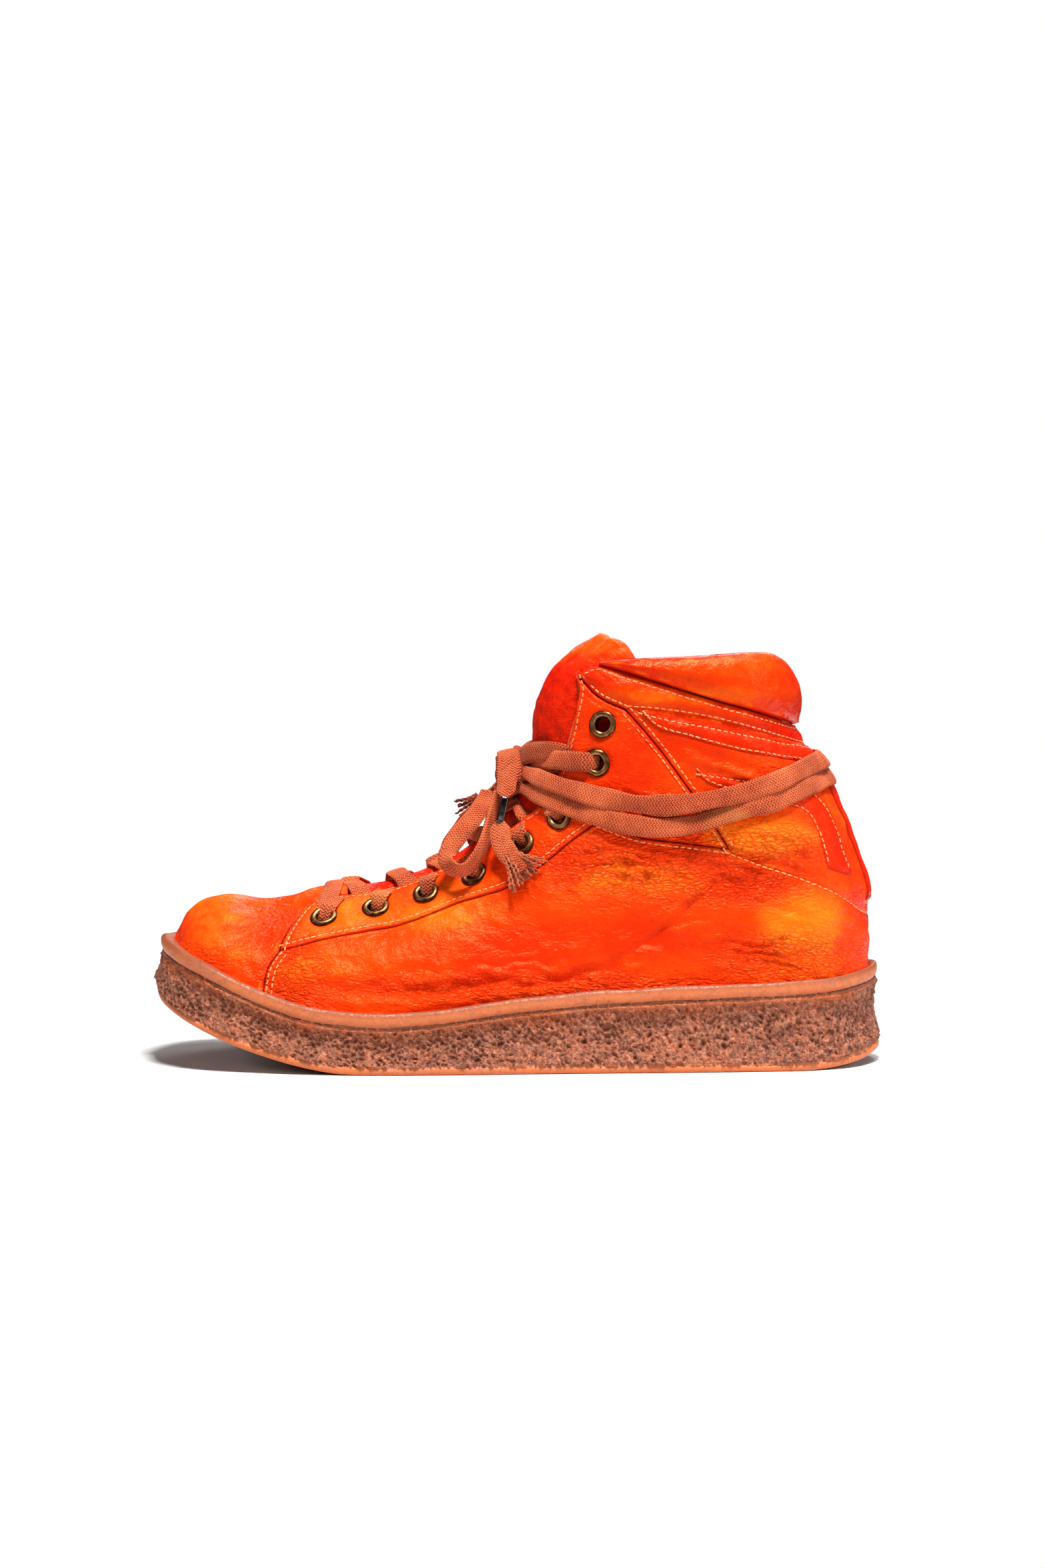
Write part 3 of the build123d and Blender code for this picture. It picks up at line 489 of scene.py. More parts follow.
def spline_points(name, route):
    """The points of one smooth NURBS spline through a cord's route."""
    line = bpy.data.curves.new(name, "CURVE")
    line.dimensions = "3D"
    line.resolution_u = 24
    spline = line.splines.new("NURBS")
    spline.points.add(len(route) - 1)
    for knot, place in zip(spline.points, route):
        knot.co = (*(Vector(place) * MM), 1)
    spline.order_u = 3
    spline.use_endpoint_u = True
    holder = bpy.data.objects.new(name, line)
    mesh = bpy.data.meshes.new_from_object(holder)
    found = np.array([v.co[:] for v in mesh.vertices]) / MM
    bpy.data.objects.remove(holder)
    bpy.data.meshes.remove(mesh)
    return found


def run_length(line):
    return float(np.linalg.norm(np.diff(line, axis=0), axis=1).sum())


def ribbon(name, line, facing, widths=LACE_WIDTH, thick=LACE_THICKNESS, material=COTTON,
           replaces=(), step=0.7):
    """A flat lace along a line of points, its face turned towards `facing`."""
    facing = np.broadcast_to(np.asarray(facing, float), line.shape)
    widths = np.broadcast_to(np.asarray(widths, float), len(line))
    thick = np.broadcast_to(np.asarray(thick, float), len(line))
    both = resampled(np.column_stack([line, facing, widths, thick]), step / FINE)
    line, facing = both[:, :3], both[:, 3:6]
    widths, thick = both[:, 6], both[:, 7]
    forward = unit(np.gradient(line, axis=0))
    across = unit(np.cross(forward, facing))
    out = unit(np.cross(across, forward))
    turn = np.linspace(0, 2 * math.pi, 20, endpoint=False)
    a = np.sign(np.cos(turn)) * np.abs(np.cos(turn)) ** 0.45
    b = np.sign(np.sin(turn)) * np.abs(np.sin(turn)) ** 0.8
    cup = 0.35 * (1 - a**2)
    wobble = FLUTTER(line)
    side = a[None, :] * (widths / 2)[:, None] * (1 + 0.05 * wobble[:, None])
    rise = (b[None, :] + cup[None, :]) * (thick / 2)[:, None]
    points = line[:, None] + across[:, None] * side[..., None] + out[:, None] * rise[..., None]
    along = np.concatenate([[0], np.cumsum(np.linalg.norm(np.diff(line, axis=0), axis=1))])
    faces = tube_faces(len(line), len(turn))
    piece = new_mesh(name, points.reshape(-1, 3), faces, material, replaces)
    point_value(piece, "along", np.repeat(along, len(turn)))
    point_value(piece, "across", side.ravel())
    return piece


FLUTTER = waves(11, 14)


def tuft(name, end, forward, across, count, length, spread, material, seed):
    """Frayed yarns fanning out from a lace's end."""
    local = np.random.default_rng(seed)
    points, faces = [], []
    forward, across = unit(np.array(forward, float)), unit(np.array(across, float))
    other = np.cross(forward, across)
    t = np.linspace(0, 1, 32)[:, None]
    for i in range(count):
        place = 2 * (i + 0.5) / count - 1
        reach = length * local.uniform(0.72, 1.08)
        start = end + across * place * 3.2 + other * local.uniform(-0.9, 0.9) - forward * 2.0
        lean = across * (place * spread + local.uniform(-0.25, 0.25))
        lean = lean + other * local.uniform(-0.3, 0.3)
        kink = across * local.uniform(-1, 1) + other * local.uniform(-1, 1)
        line = start + forward * reach * t + lean * reach * t**1.6
        ripple = np.sin(t * reach * local.uniform(2.2, 3.0) + local.uniform(0, 6))
        line = line + kink * 0.4 * ripple * np.minimum(3 * t, 1)
        radius = local.uniform(0.44, 0.6) * (1 - 0.25 * t[:, 0])
        ring, more = tube_points(line, radius, 6)
        before = sum(map(len, points))
        faces += [tuple(k + before for k in f) for f in more]
        points.append(ring)
    return new_mesh(name, np.concatenate(points), faces, material)


def tube_points(line, radius, around):
    """Points and faces of a round tube along a line."""
    forward = unit(np.gradient(line, axis=0))
    aside = unit(np.cross(forward, forward[0] + np.array([0.31, 0.77, 0.55])))
    up = np.cross(forward, aside)
    turn = np.linspace(0, 2 * math.pi, around, endpoint=False)
    radius = np.broadcast_to(radius, len(line))
    ring = line[:, None] + radius[:, None, None] * (
        aside[:, None] * np.cos(turn)[None, :, None] + up[:, None] * np.sin(turn)[None, :, None]
    )
    return ring.reshape(-1, 3), tube_faces(len(line), around)


LOOP_FACING = [  # share of the loop's length, the way its face looks on the lateral side
    (0.0, -0.3, -1.0, 0.1), (0.36, -0.3, -1.0, 0.1), (0.47, -0.75, -0.75, -0.25),
    (0.56, -0.1, -0.75, -0.75), (0.66, 0.7, -0.7, -0.35), (1.0, 0.85, -0.5, -0.1),
]


for side_name, sign in (("lateral", 1), ("medial", -1)):
    route = [(x, sign * y, z) for x, y, z in LOOP]
    line = spline_points(f"bow_loop_{side_name}", route)
    facing = curve(LOOP_FACING, np.linspace(0, 1, len(line))) * (1, sign, 1)
    loop = ribbon(f"bow_loop_{side_name}", line, facing, replaces=(f"lace_loop_{side_name}",))

front_line = spline_points("front_lace_end", FRONT_END)
along = np.concatenate([[0], np.cumsum(np.linalg.norm(np.diff(front_line, axis=0), axis=1))])
pinch = np.exp(-(((along - 24.0) / 6.8) ** 6))
fraying = np.clip((along - along[-1] + 9) / 9, 0, 1)
front_end = ribbon(
    "front_lace_end", front_line, (-0.25, -1.0, 0.1), 8.8 - 6.4 * pinch - 3.5 * fraying,
    1.5 + 0.7 * pinch, replaces=("lace_end_lateral",),
)
fray_from = int(np.searchsorted(along, along[-1] - 8))
front_fray = tuft(
    "front_lace_fray", front_line[fray_from], (0.62, -0.32, -0.72), (0.75, 0.1, 0.6),
    36, 13.5, 0.42, FRAY, 21,
)
rear_line = spline_points("rear_lace_end", REAR_END)
rear_end = ribbon(
    "rear_lace_end", rear_line, (-0.2, 1.0, 0.3), 4.8, 2.6, COTTON_SHADED, ("lace_end_medial",)
)
rear_fray = tuft(
    "rear_lace_fray", rear_line[-1], (-0.72, -0.1, -0.68), (0.4, 0.3, -0.8), 16, 11.5, 0.3,
    FRAY_SHADED, 22,
)
# ---------------------------------------------------------------- the shoe's skin
# Each station is a line in the side view, from the sole or heel up to the instep,
# with the tube's width across it: (low x, low z, top x, top z, top radius, roof
# slope, outer half, inner half, centre y).
STATIONS = np.array([
    (-141.3, 35.0, -141.3, 49.5, 14, 0.80, 20, 20, 5.0),
    (-139.8, 34.5, -139.6, 54.0, 16, 0.80, 28, 28, 5.0),
    (-136.0, 33.0, -135.3, 61.0, 18, 0.80, 36, 35, 5.0),
    (-130.5, 30.5, -129.0, 65.6, 22, 0.80, 41, 40, 5.0),
    (-120.0, 26.0, -118.0, 68.0, 28, 0.80, 45, 44, 4.5),
    (-106.0, 19.8, -104.0, 67.0, 28, 0.80, 48, 46, 4.0),
    (-88.0, 14.0, -90.0, 69.0, 26, 0.78, 50, 47, 3.0),
    (-68.0, 10.3, -74.0, 71.5, 25, 0.75, 51, 47, 2.0),
    (-44.0, 9.8, -58.0, 73.2, 24, 0.72, 50, 45, 1.0),
    (-14.0, 13.0, -44.0, 76.8, 23, 0.68, 47, 41, 0.0),
    (24.0, 17.0, -31.0, 82.0, 22, 0.62, 43, 38, 0.0),
    (66.0, 19.3, -19.0, 89.0, 22, 0.56, 40, 37, 0.0),
    (108.0, 20.7, -9.0, 98.0, 22, 0.50, 38.5, 37.5, 0.0),
    (131.0, 22.8, -4.6, 103.0, 22, 0.48, 38.2, 37.5, 0.0),
    (142.5, 24.6, -2.2, 105.7, 22, 0.47, 38, 37.5, 0.0),
    (147.2, 26.0, -1.0, 107.0, 22, 0.46, 38, 37.5, 0.0),
    (147.2, 50.0, 3.5, 117.0, 23, 0.44, 37.5, 37.5, 0.0),
    (144.9, 73.0, 6.5, 127.0, 24, 0.42, 37, 37, 0.0),
    (138.0, 95.0, 7.5, 136.0, 25, 0.40, 36.5, 36.5, 0.0),
    (127.9, 116.0, 8.5, 145.0, 25, 0.40, 36.5, 36.5, 0.0),
    (116.0, 136.0, 10.5, 154.0, 25, 0.40, 36.5, 36.5, 0.0),
    (113.8, 153.0, 14.5, 163.0, 25, 0.40, 36.5, 36.5, 0.0),
    (109.0, 171.0, 21.0, 175.0, 25, 0.40, 36.5, 36.5, 0.0),
])
LAST = len(STATIONS) - 1
HEEL_STATION = 15
BACK_LINE = [  # z, x of the back of the heel and shaft
    (20, 147.2), (50, 147.2), (58, 146.8), (67, 145.8), (84, 142.3), (92, 139.2),
    (101.5, 135.2), (113, 129.3), (128, 121.0), (133, 117.6), (138, 115.2),
    (146, 114.6), (155, 113.6), (165, 111.0), (175, 107.0),
]
BACK_RADIUS = 30.0
ROUNDING = 6
RIM_LINE = [  # x, z of the sole's top edge
    (-150, 53.5), (-141, 50), (-130, 45.5), (-120, 41), (-110, 36.6), (-100, 32.2),
    (-90, 29), (-80, 26.8), (-70, 25.3), (-60, 24.5), (-50, 24.3), (-35, 25.2),
    (-15, 28), (10, 31), (40, 33.3), (80, 35), (120, 36.5), (140, 38.6), (151, 41),
]
LATERAL, MEDIAL = 1, -1


def rim_z(x):
    return curve(RIM_LINE, x)


def stations(u):
    numbered = np.column_stack([np.arange(LAST + 1), STATIONS])
    found = curve(numbered, u)
    found[..., 0] = np.where(
        np.asarray(u) > HEEL_STATION, curve(BACK_LINE, found[..., 1]), found[..., 0]
    )
    return found


def half_width(x, z, from_top, s, side):
    roof = np.sqrt(2 * s[..., 4] * from_top + (s[..., 5] * from_top) ** 2)
    back = np.sqrt(2 * BACK_RADIUS * np.maximum(curve(BACK_LINE, z) - x, 0))
    half = np.where(np.asarray(side) > 0, s[..., 6], s[..., 7])
    parts = [np.maximum(v, 1e-4) for v in (roof, back, half)]
    return sum(v**-ROUNDING for v in parts) ** (-1 / ROUNDING)


def skin(u, share, side):
    """Points of the skin: station u, share of the way from the top to the low end."""
    s = stations(u)
    x = s[..., 2] + (s[..., 0] - s[..., 2]) * share
    z = s[..., 3] + (s[..., 1] - s[..., 3]) * share
    length = np.hypot(s[..., 2] - s[..., 0], s[..., 3] - s[..., 1])
    width = half_width(x, z, share * length, s, side)
    return np.stack([x, s[..., 8] - side * width, z], -1)


def locate(x, z):
    """Station and share of side-view points."""
    x, z = np.asarray(x, float), np.asarray(z, float)
    low, high = np.zeros(x.shape), np.full(x.shape, float(LAST))
    for _ in range(30):
        u = (low + high) / 2
        s = stations(u)
        ahead = (s[..., 2] - s[..., 0]) * (z - s[..., 1]) - (s[..., 3] - s[..., 1]) * (
            x - s[..., 0]
        ) < 0
        low, high = np.where(ahead, u, low), np.where(ahead, high, u)
    s = stations(u)
    down = np.stack([s[..., 0] - s[..., 2], s[..., 1] - s[..., 3]], -1)
    off = np.stack([x - s[..., 2], z - s[..., 3]], -1)
    return u, (off * down).sum(-1) / (down**2).sum(-1)


def on_skin(x, z, side):
    """Points of the skin and their outward normals, at side-view points."""
    u, share = locate(x, z)
    share = np.clip(share, 1e-3, 1 - 1e-3)
    here = skin(u, share, side)
    du = skin(u + 0.02, share, side) - skin(u - 0.02, share, side)
    dv = skin(u, share + 4e-4, side) - skin(u, share - 4e-4, side)
    return here, -side * unit(np.cross(du, dv))


# ---------------------------------------------------------------- seams in the side view
TOE_SEAM = [(-104, 0), (-102.3, 22), (-101.5, 32), (-99.7, 41), (-95.5, 47.5)]
FACING_FRONT = [(-95.5, 47.5), (-94, 52), (-91, 58), (-87, 63.5), (-81, 67.3), (-75, 68.6)]
FACING_TIP = [(-75, 68.6), (-69, 69)]
FACING_INNER = [
    (-69, 69), (-60, 69.6), (-50, 72), (-40, 75.3), (-30, 79.8), (-20, 85.2),
    (-10, 91), (0, 98.3), (10, 106),
]
FACING_LOWER = [
    (-95.5, 47.5), (-80, 51.5), (-60, 55.7), (-42, 59.5), (-20, 68.2), (-5, 73),
    (8, 80.5), (20, 90), (33, 100.2),
]
FACING_TOP = [(10, 106), (33, 100.2)]
ANKLE_FRONT = [(10, 106), (18, 120), (22.5, 136), (25.8, 152), (24.6, 159.5)]
ANKLE_REAR = [(44.5, 145.2), (51, 138), (60, 127), (70.5, 112.5), (80, 99), (86, 89.4)]
QUARTER_TOP_FRONT = [(33, 100.2), (50, 94.2), (70, 91.5), (86, 89.4)]
QUARTER_TOP_REAR = [(86, 89.4), (100, 84), (115, 79), (130, 72.3), (143, 64.2), (165, 50)]
BAND_LOWER_FRONT = [(24.6, 159.5), (33, 150.8), (44.5, 145.2)]
BAND_LOWER_REAR = [(44.5, 145.2), (60, 144), (80, 140.7), (100, 135.3), (118, 130), (140, 123)]
BAND_UPPER = [
    (24.6, 159.5), (33, 163.8), (42, 161.2), (60, 155.6), (80, 149.4), (100, 143.8),
    (118, 138), (140, 130),
]
ROLL_TOP = [
    (33, 163.8), (41, 165.8), (56, 166.4), (80, 167.4), (98, 169.0), (104, 168.4),
    (109, 165.6), (113, 160), (122, 150), (122, 137),
]
STRIPE_UPPER = [
    [(49, 145.7), (60, 142.8), (80, 138.9), (100, 134.3), (126, 127.8)],
    [(126, 127.8), (126, 121)],
    [(126, 121), (110, 124.8), (90, 128.5), (70, 134), (57, 138), (49, 145.7)],
]
STRIPE_REAR = [
    [(72, 121), (90, 118.2), (108, 115.6), (119, 112.6), (129, 100), (136, 82), (137, 77)],
    [(137, 77), (126, 81)],
    [(126, 81), (123, 91), (117, 103), (100, 108.6), (78, 115.5), (72, 121)],
]
SOLE_LINE = 11.0  # the leather goes this far below the rim


def back(edge):
    return edge[::-1]


FLOOR = [(x, float(rim_z(x)) - SOLE_LINE) for x in range(-150, 161, 10)]
VAMP = [
    TOE_SEAM, FACING_FRONT, FACING_TIP, [(-69, 69), (-66, 90)], [(-66, 90), (-170, 90)],
    [(-170, 90), (-170, 0)],
]
QUARTER = [
    TOE_SEAM, FACING_LOWER, QUARTER_TOP_FRONT, QUARTER_TOP_REAR, [(165, 50), (165, 0)],
]
FACING = [FACING_FRONT, FACING_TIP, FACING_INNER, FACING_TOP, back(FACING_LOWER)]
ANKLE_FACING = [
    FACING_TOP, QUARTER_TOP_FRONT, back(ANKLE_REAR), back(BAND_LOWER_FRONT),
    back(ANKLE_FRONT),
]
LAP = 2.0  # the ankle panel runs on under the band and the quarter
ANKLE_PANEL = [
    ANKLE_REAR, [(x, z - LAP) for x, z in QUARTER_TOP_REAR], [(165, 50), (165, 110)],
    [(165, 110), (140, 123)], [(x, z + LAP) for x, z in back(BAND_LOWER_REAR)],
]
COLLAR_BAND = [BAND_LOWER_FRONT, BAND_LOWER_REAR, [(140, 123), (140, 130)], back(BAND_UPPER)]


def smooth_line(points, step=0.3):
    """A seam's points joined by one smooth line, sampled evenly."""
    points = np.array(points, float)
    runs = np.linalg.norm(np.diff(points, axis=0), axis=1)
    along = np.concatenate([[0], np.cumsum(runs)])
    at = np.linspace(0, along[-1], max(2, int(along[-1] / step)))
    if len(points) == 2:
        return points[0] + (points[1] - points[0]) * (at / along[-1])[:, None]
    return curve(np.column_stack([along, points]), at)


def outline_points(edges, step=0.3):
    """All of an outline's edges in turn as one closed line."""
    pieces = [smooth_line(edge, step) for edge in edges]
    return np.concatenate(pieces)


def within(polygon, x, z):
    """Which side-view points lie inside a closed line."""
    inside = np.zeros(x.shape, bool)
    for (x0, z0), (x1, z1) in zip(polygon, np.roll(polygon, -1, axis=0)):
        if z0 != z1:
            crosses = (z0 > z) != (z1 > z)
            inside ^= crosses & (x < (x1 - x0) * (z - z0) / (z1 - z0) + x0)
    return inside


# ---------------------------------------------------------------- relief of worn leather
SWELL = waves(1, 34, stretch=(1.7, 1, 1))
DENTS = waves(2, 14, stretch=(1.4, 1, 1))
PUCKER = waves(3, 6, stretch=(1.5, 1, 1))


BULGES = [  # centre of a swelling, its half length and half height, how far it stands out
    ((102, 61), 17, 9, 1.5), ((68, 74), 17, 7, 1.3), ((14, 66), 15, 7, 1.1),
    ((48, 58), 14, 8, -0.9), ((84, 46), 18, 5, -0.6), ((-40, 46), 30, 7, 0.7),
    ((24, 52), 18, 6, 0.8), ((100, 94), 16, 6, 0.9), ((52, 118), 8, 14, 0.6),
]


def relief(p, side):
    """How far worn leather stands above the skin at points of it."""
    swell = 0.65 * SWELL(p) + 0.36 * DENTS(p) + 0.13 * PUCKER(p)
    shift = np.where(np.asarray(side) == MEDIAL, 6.0, 0.0)
    for (x, z), half_x, half_z, height in BULGES:
        away = ((p[..., 0] + shift - x) / half_x) ** 2 + ((p[..., 2] - z) / half_z) ** 2
        swell = swell + height * np.exp(-away)
    return 1.6 * np.tanh(swell / 1.6) + 0.15


# ---------------------------------------------------------------- the skin's grid
def grid():
    """Points over the whole skin: rows along the shoe, columns from side to side."""
    u = np.linspace(0, LAST, 2000)
    low, top = skin(u, 1.0, LATERAL), skin(u, 0.0, LATERAL)
    step = np.linalg.norm(np.diff(low, axis=0), axis=1) + np.linalg.norm(
        np.diff(top, axis=0), axis=1
    )
    along = np.concatenate([[0], np.cumsum(step)])
    rows = np.interp(np.linspace(0, along[-1], int(460 * FINE)), along, u)
    half = int(200 * FINE)
    w = np.linspace(-1, 1, 2 * half + 1)
    share = np.clip((1 - np.cos(math.pi * np.abs(w))) / 2, 0, 1)
    side = np.where(w < 0, LATERAL, MEDIAL)
    p = skin(rows[:, None], share[None, :], side[None, :])
    n = unit(np.cross(np.gradient(p, axis=0), np.gradient(p, axis=1)))
    return w, p, n, side


COLS, GRID_P, GRID_N, GRID_SIDE = grid()


class Patch:
    """A piece of the skin: points, normals, and signed distance from its edge."""

    def __init__(self, p, n, nearest, d, side, quads):
        self.p, self.n, self.nearest, self.d, self.side = p, n, nearest, d, side
        self.quads, self.others = quads, []

    def snap(self, level, reach):
        """Points that nearly lie at a distance from the edge are moved onto it."""
        close = np.abs(self.d - level) < reach
        if level == 0:
            self.p[close] = self.nearest[close]
        else:
            away = self.p[close] - self.nearest[close]
            self.p[close] = self.nearest[close] + away * (level / self.d[close])[:, None]
        self.d[close] = level

    def cut(self, level, reach, drop_outside=False):
        """Put edges all along a distance from the edge; at the edge, drop the rest."""
        self.snap(level, reach)
        d = self.d[self.quads]
        mixed = (d.min(1) < level) & (d.max(1) > level)
        todo = [tuple(q) for q in self.quads[mixed]]
        keep = ~mixed
        if drop_outside:
            keep &= d.min(1) >= level
        self.quads = self.quads[keep]
        done, fresh, made = [], [], {}
        d = list(self.d)
        for poly in todo + self.others:
            values = [d[i] for i in poly]
            if min(values) >= level or max(values) <= level:
                if not drop_outside or min(values) >= level:
                    done.append(poly)
                continue
            upper, lower = [], []
            for i, j in zip(poly, poly[1:] + poly[:1]):
                if d[i] >= level:
                    upper.append(i)
                if d[i] <= level:
                    lower.append(i)
                if (d[i] - level) * (d[j] - level) < 0:
                    key = (min(i, j), max(i, j))
                    if key not in made:
                        made[key] = len(d) + len(fresh)
                        fresh.append((key, (level - d[key[0]]) / (d[key[1]] - d[key[0]])))
                    upper.append(made[key])
                    lower.append(made[key])
            done.append(tuple(upper))
            if not drop_outside:
                done.append(tuple(lower))
        self.others = [poly for poly in done if len(poly) > 2]
        if fresh:
            ends = np.array([key for key, _ in fresh])
            t = np.array([t for _, t in fresh])[:, None]

            def mid(values):
                return values[ends[:, 0]] * (1 - t) + values[ends[:, 1]] * t

            self.p = np.concatenate([self.p, mid(self.p)])
            self.n = np.concatenate([self.n, unit(mid(self.n))])
            self.nearest = np.concatenate([self.nearest, mid(self.nearest)])
            self.side = np.concatenate([self.side, self.side[ends[:, 0]]])
            self.d = np.concatenate([self.d, np.full(len(ends), float(level))])

    def compact(self):
        """Forget the points that no face uses."""
        used = np.zeros(len(self.p), bool)
        used[self.quads.ravel()] = True
        used[[i for poly in self.others for i in poly]] = True
        to = np.cumsum(used) - 1
        self.quads = to[self.quads]
        self.others = [tuple(int(to[i]) for i in poly) for poly in self.others]
        for key in ("p", "n", "nearest", "d", "side"):
            setattr(self, key, getattr(self, key)[used])


def region(outline, sides, levels=(0.35, 1.0, 2.0, 3.2), across_back=False, holes=()):
    """The part of the skin inside a side-view outline, with edges along it."""
    line = outline_points(outline)
    columns = np.isin(GRID_SIDE, sides) | (COLS == 0)
    x, z = GRID_P[..., 0], GRID_P[..., 2]
    inside = within(line, x, z) & columns[None, :]
    inside &= z > rim_z(x) - SOLE_LINE
    floor = smooth_line(FLOOR)
    borders = [line, floor[within(line, floor[:, 0], floor[:, 1])]]
    tree_points = []
    turn = np.linspace(0, 2 * math.pi, 90, endpoint=False)
    for side in sides:
        for x, z in holes:
            p, n = (v[0] for v in on_skin(np.array([x]), np.array([z]), side))
            a = unit(np.cross(n, (0.0, 0.0, 1.0)))
            b = np.cross(n, a)
            inside &= np.linalg.norm(GRID_P - p, axis=-1) > HOLE_RADIUS
            tree_points.append(p + HOLE_RADIUS * (
                a * np.cos(turn)[:, None] + b * np.sin(turn)[:, None]
            ))
    for side in sides:
        for border in borders:
            u, share = locate(border[:, 0], border[:, 1])
            ok = (share > 2e-4) & (share < 1 - 2e-4) & (u > 1e-3) & (u < LAST - 1e-3)
            tree_points.append(skin(u[ok], share[ok], side))
        if not across_back and len(sides) == 1:
            u = np.linspace(HEEL_STATION, LAST, 900)
            seam = skin(u, 1 - 1e-6, side)
            tree_points.append(seam[within(line, seam[:, 0] - 0.05, seam[:, 2])])
    tree_points = np.concatenate(tree_points)
    tree = KDTree(len(tree_points))
    for i, point in enumerate(tree_points):
        tree.insert(point, i)
    tree.balance()

    near = inside.copy()
    for _ in range(2):
        near[1:] |= near[:-1].copy()
        near[:-1] |= near[1:].copy()
        near[:, 1:] |= near[:, :-1].copy()
        near[:, :-1] |= near[:, 1:].copy()
    near &= columns[None, :]
    rows, cols = np.nonzero(near)
    p = GRID_P[rows, cols].copy()
    found = [tree.find(point) for point in p]
    nearest = np.array([f[0] for f in found])
    d = np.array([f[2] for f in found]) * np.where(inside[rows, cols], 1, -1)
    number = np.full(near.shape, -1)
    number[rows, cols] = np.arange(len(p))
    if across_back:
        both = (number[:, 0] >= 0) & (number[:, -1] >= 0)
        number[both, -1] = number[both, 0]
    quads = np.stack(
        [number[:-1, :-1], number[1:, :-1], number[1:, 1:], number[:-1, 1:]], -1
    ).reshape(-1, 4)
    quads = quads[(quads >= 0).all(1)]
    quads = quads[(d[quads] > 0).any(1)]
    patch = Patch(p, GRID_N[rows, cols].copy(), nearest, d, GRID_SIDE[cols], quads)
    patch.cut(0.0, 0.22 / FINE, drop_outside=True)
    for level in levels:
        patch.cut(level, 0.16 / FINE)
    patch.compact()
    return patch


def rim_edges(patch):
    """Directed edges that only one face has."""
    pairs = [patch.quads[:, [k, (k + 1) % 4]] for k in range(4)]
    loose = [(i, j) for poly in patch.others for i, j in zip(poly, poly[1:] + poly[:1])]
    pairs = np.concatenate(pairs + ([np.array(loose)] if loose else []))
    size = len(patch.p) + 1
    there = pairs[:, 0] * size + pairs[:, 1]
    reverse = pairs[:, 1] * size + pairs[:, 0]
    return pairs[~np.isin(reverse, there)]


def rounded_edge(d, radius, drop):
    """How far a folded or cut edge falls below its panel, near the edge."""
    t = np.clip(d / radius, 0, 1)
    return drop * (1 - np.sqrt(np.maximum(1 - (1 - t) ** 2, 0)))


def shell(name, patch, top, bottom, material, replaces=()):
    """A panel with thickness: its face at heights `top`, its back at `bottom`."""
    count = len(patch.p)
    front = patch.p + patch.n * np.asarray(top)[:, None]
    rear = patch.p + patch.n * np.broadcast_to(bottom, (count,))[:, None]
    faces = [tuple(q) for q in patch.quads] + patch.others
    faces += [tuple(i + count for i in f[::-1]) for f in faces]
    faces += [(j, i, i + count, j + count) for i, j in rim_edges(patch)]
    piece = new_mesh(name, np.concatenate([front, rear]), faces, material, replaces)
    point_value(piece, "edge", np.concatenate([patch.d, np.zeros(count)]))
    return piece


# ---------------------------------------------------------------- creases in the leather
# Each is a line in the side view with its half width and its depth.
CREASES = [
    ([(-84, 36), (-60, 33), (-35, 33), (-10, 35.5), (20, 38), (50, 41)], 2.2, 1.1),
    ([(-50, 40), (-30, 40.5), (-5, 43), (25, 45)], 1.6, 0.5),
    ([(106, 81), (92, 76), (84, 74), (76, 69), (66, 61), (55, 52), (40, 44), (25, 39)], 2.8, 1.1),
    ([(82, 52), (92, 50.5), (104, 51), (116, 54)], 1.0, 0.5),
    ([(82, 49.5), (94, 47), (112, 46.5)], 0.9, 0.45),
    ([(80, 46.5), (98, 43.5), (116, 42)], 0.9, 0.4),
    ([(60, 55), (74, 61), (86, 67)], 1.2, 0.5),
    ([(42, 50), (54, 58), (64, 68)], 1.1, 0.4),
    ([(18, 84), (34, 88), (52, 86), (68, 80)], 1.1, 0.45),
    ([(22, 80), (40, 83), (58, 81), (78, 74)], 1.0, 0.4),
    ([(30, 93), (48, 91), (64, 87), (84, 82), (104, 79)], 1.4, 0.55),
    ([(70, 84), (88, 77), (101, 76)], 1.3, 0.5),
    ([(14, 76), (34, 78), (54, 75)], 0.9, 0.3),
    ([(88, 72), (104, 66), (122, 62)], 1.1, 0.35),
    ([(-93, 45), (-86, 40), (-82, 33)], 0.9, 0.35),
    ([(-92, 47), (-82, 45), (-70, 46)], 0.9, 0.35),
    ([(-93, 44), (-90, 37), (-90, 30)], 0.8, 0.3),
    ([(-135, 46), (-124, 41), (-112, 38)], 0.8, 0.25),
    ([(66, 127), (80, 123), (100, 117.5)], 1.5, -0.7),
    ([(86, 96), (100, 94), (118, 90)], 1.2, 0.45),
    ([(88, 88), (106, 83), (124, 77)], 1.2, 0.4),
    ([(46, 112), (58, 106), (72, 98)], 1.2, 0.35),
    ([(36, 108), (48, 104), (60, 97)], 1.0, 0.3),
]
FLEX_ZONES = [  # centre of a crazed area, its half length and half height, its strength
    ((58, 84), 46, 15, 0.8), ((88, 76), 26, 9, 0.8), ((-90, 38), 14, 12, 0.6),
    ((0, 34), 70, 6, 0.5), ((112, 46), 30, 10, 0.7), ((-98, 58), 10, 12, 0.6),
    ((-128, 46), 22, 5, 0.5), ((100, 90), 26, 8, 0.7), ((55, 100), 20, 9, 0.5),
]


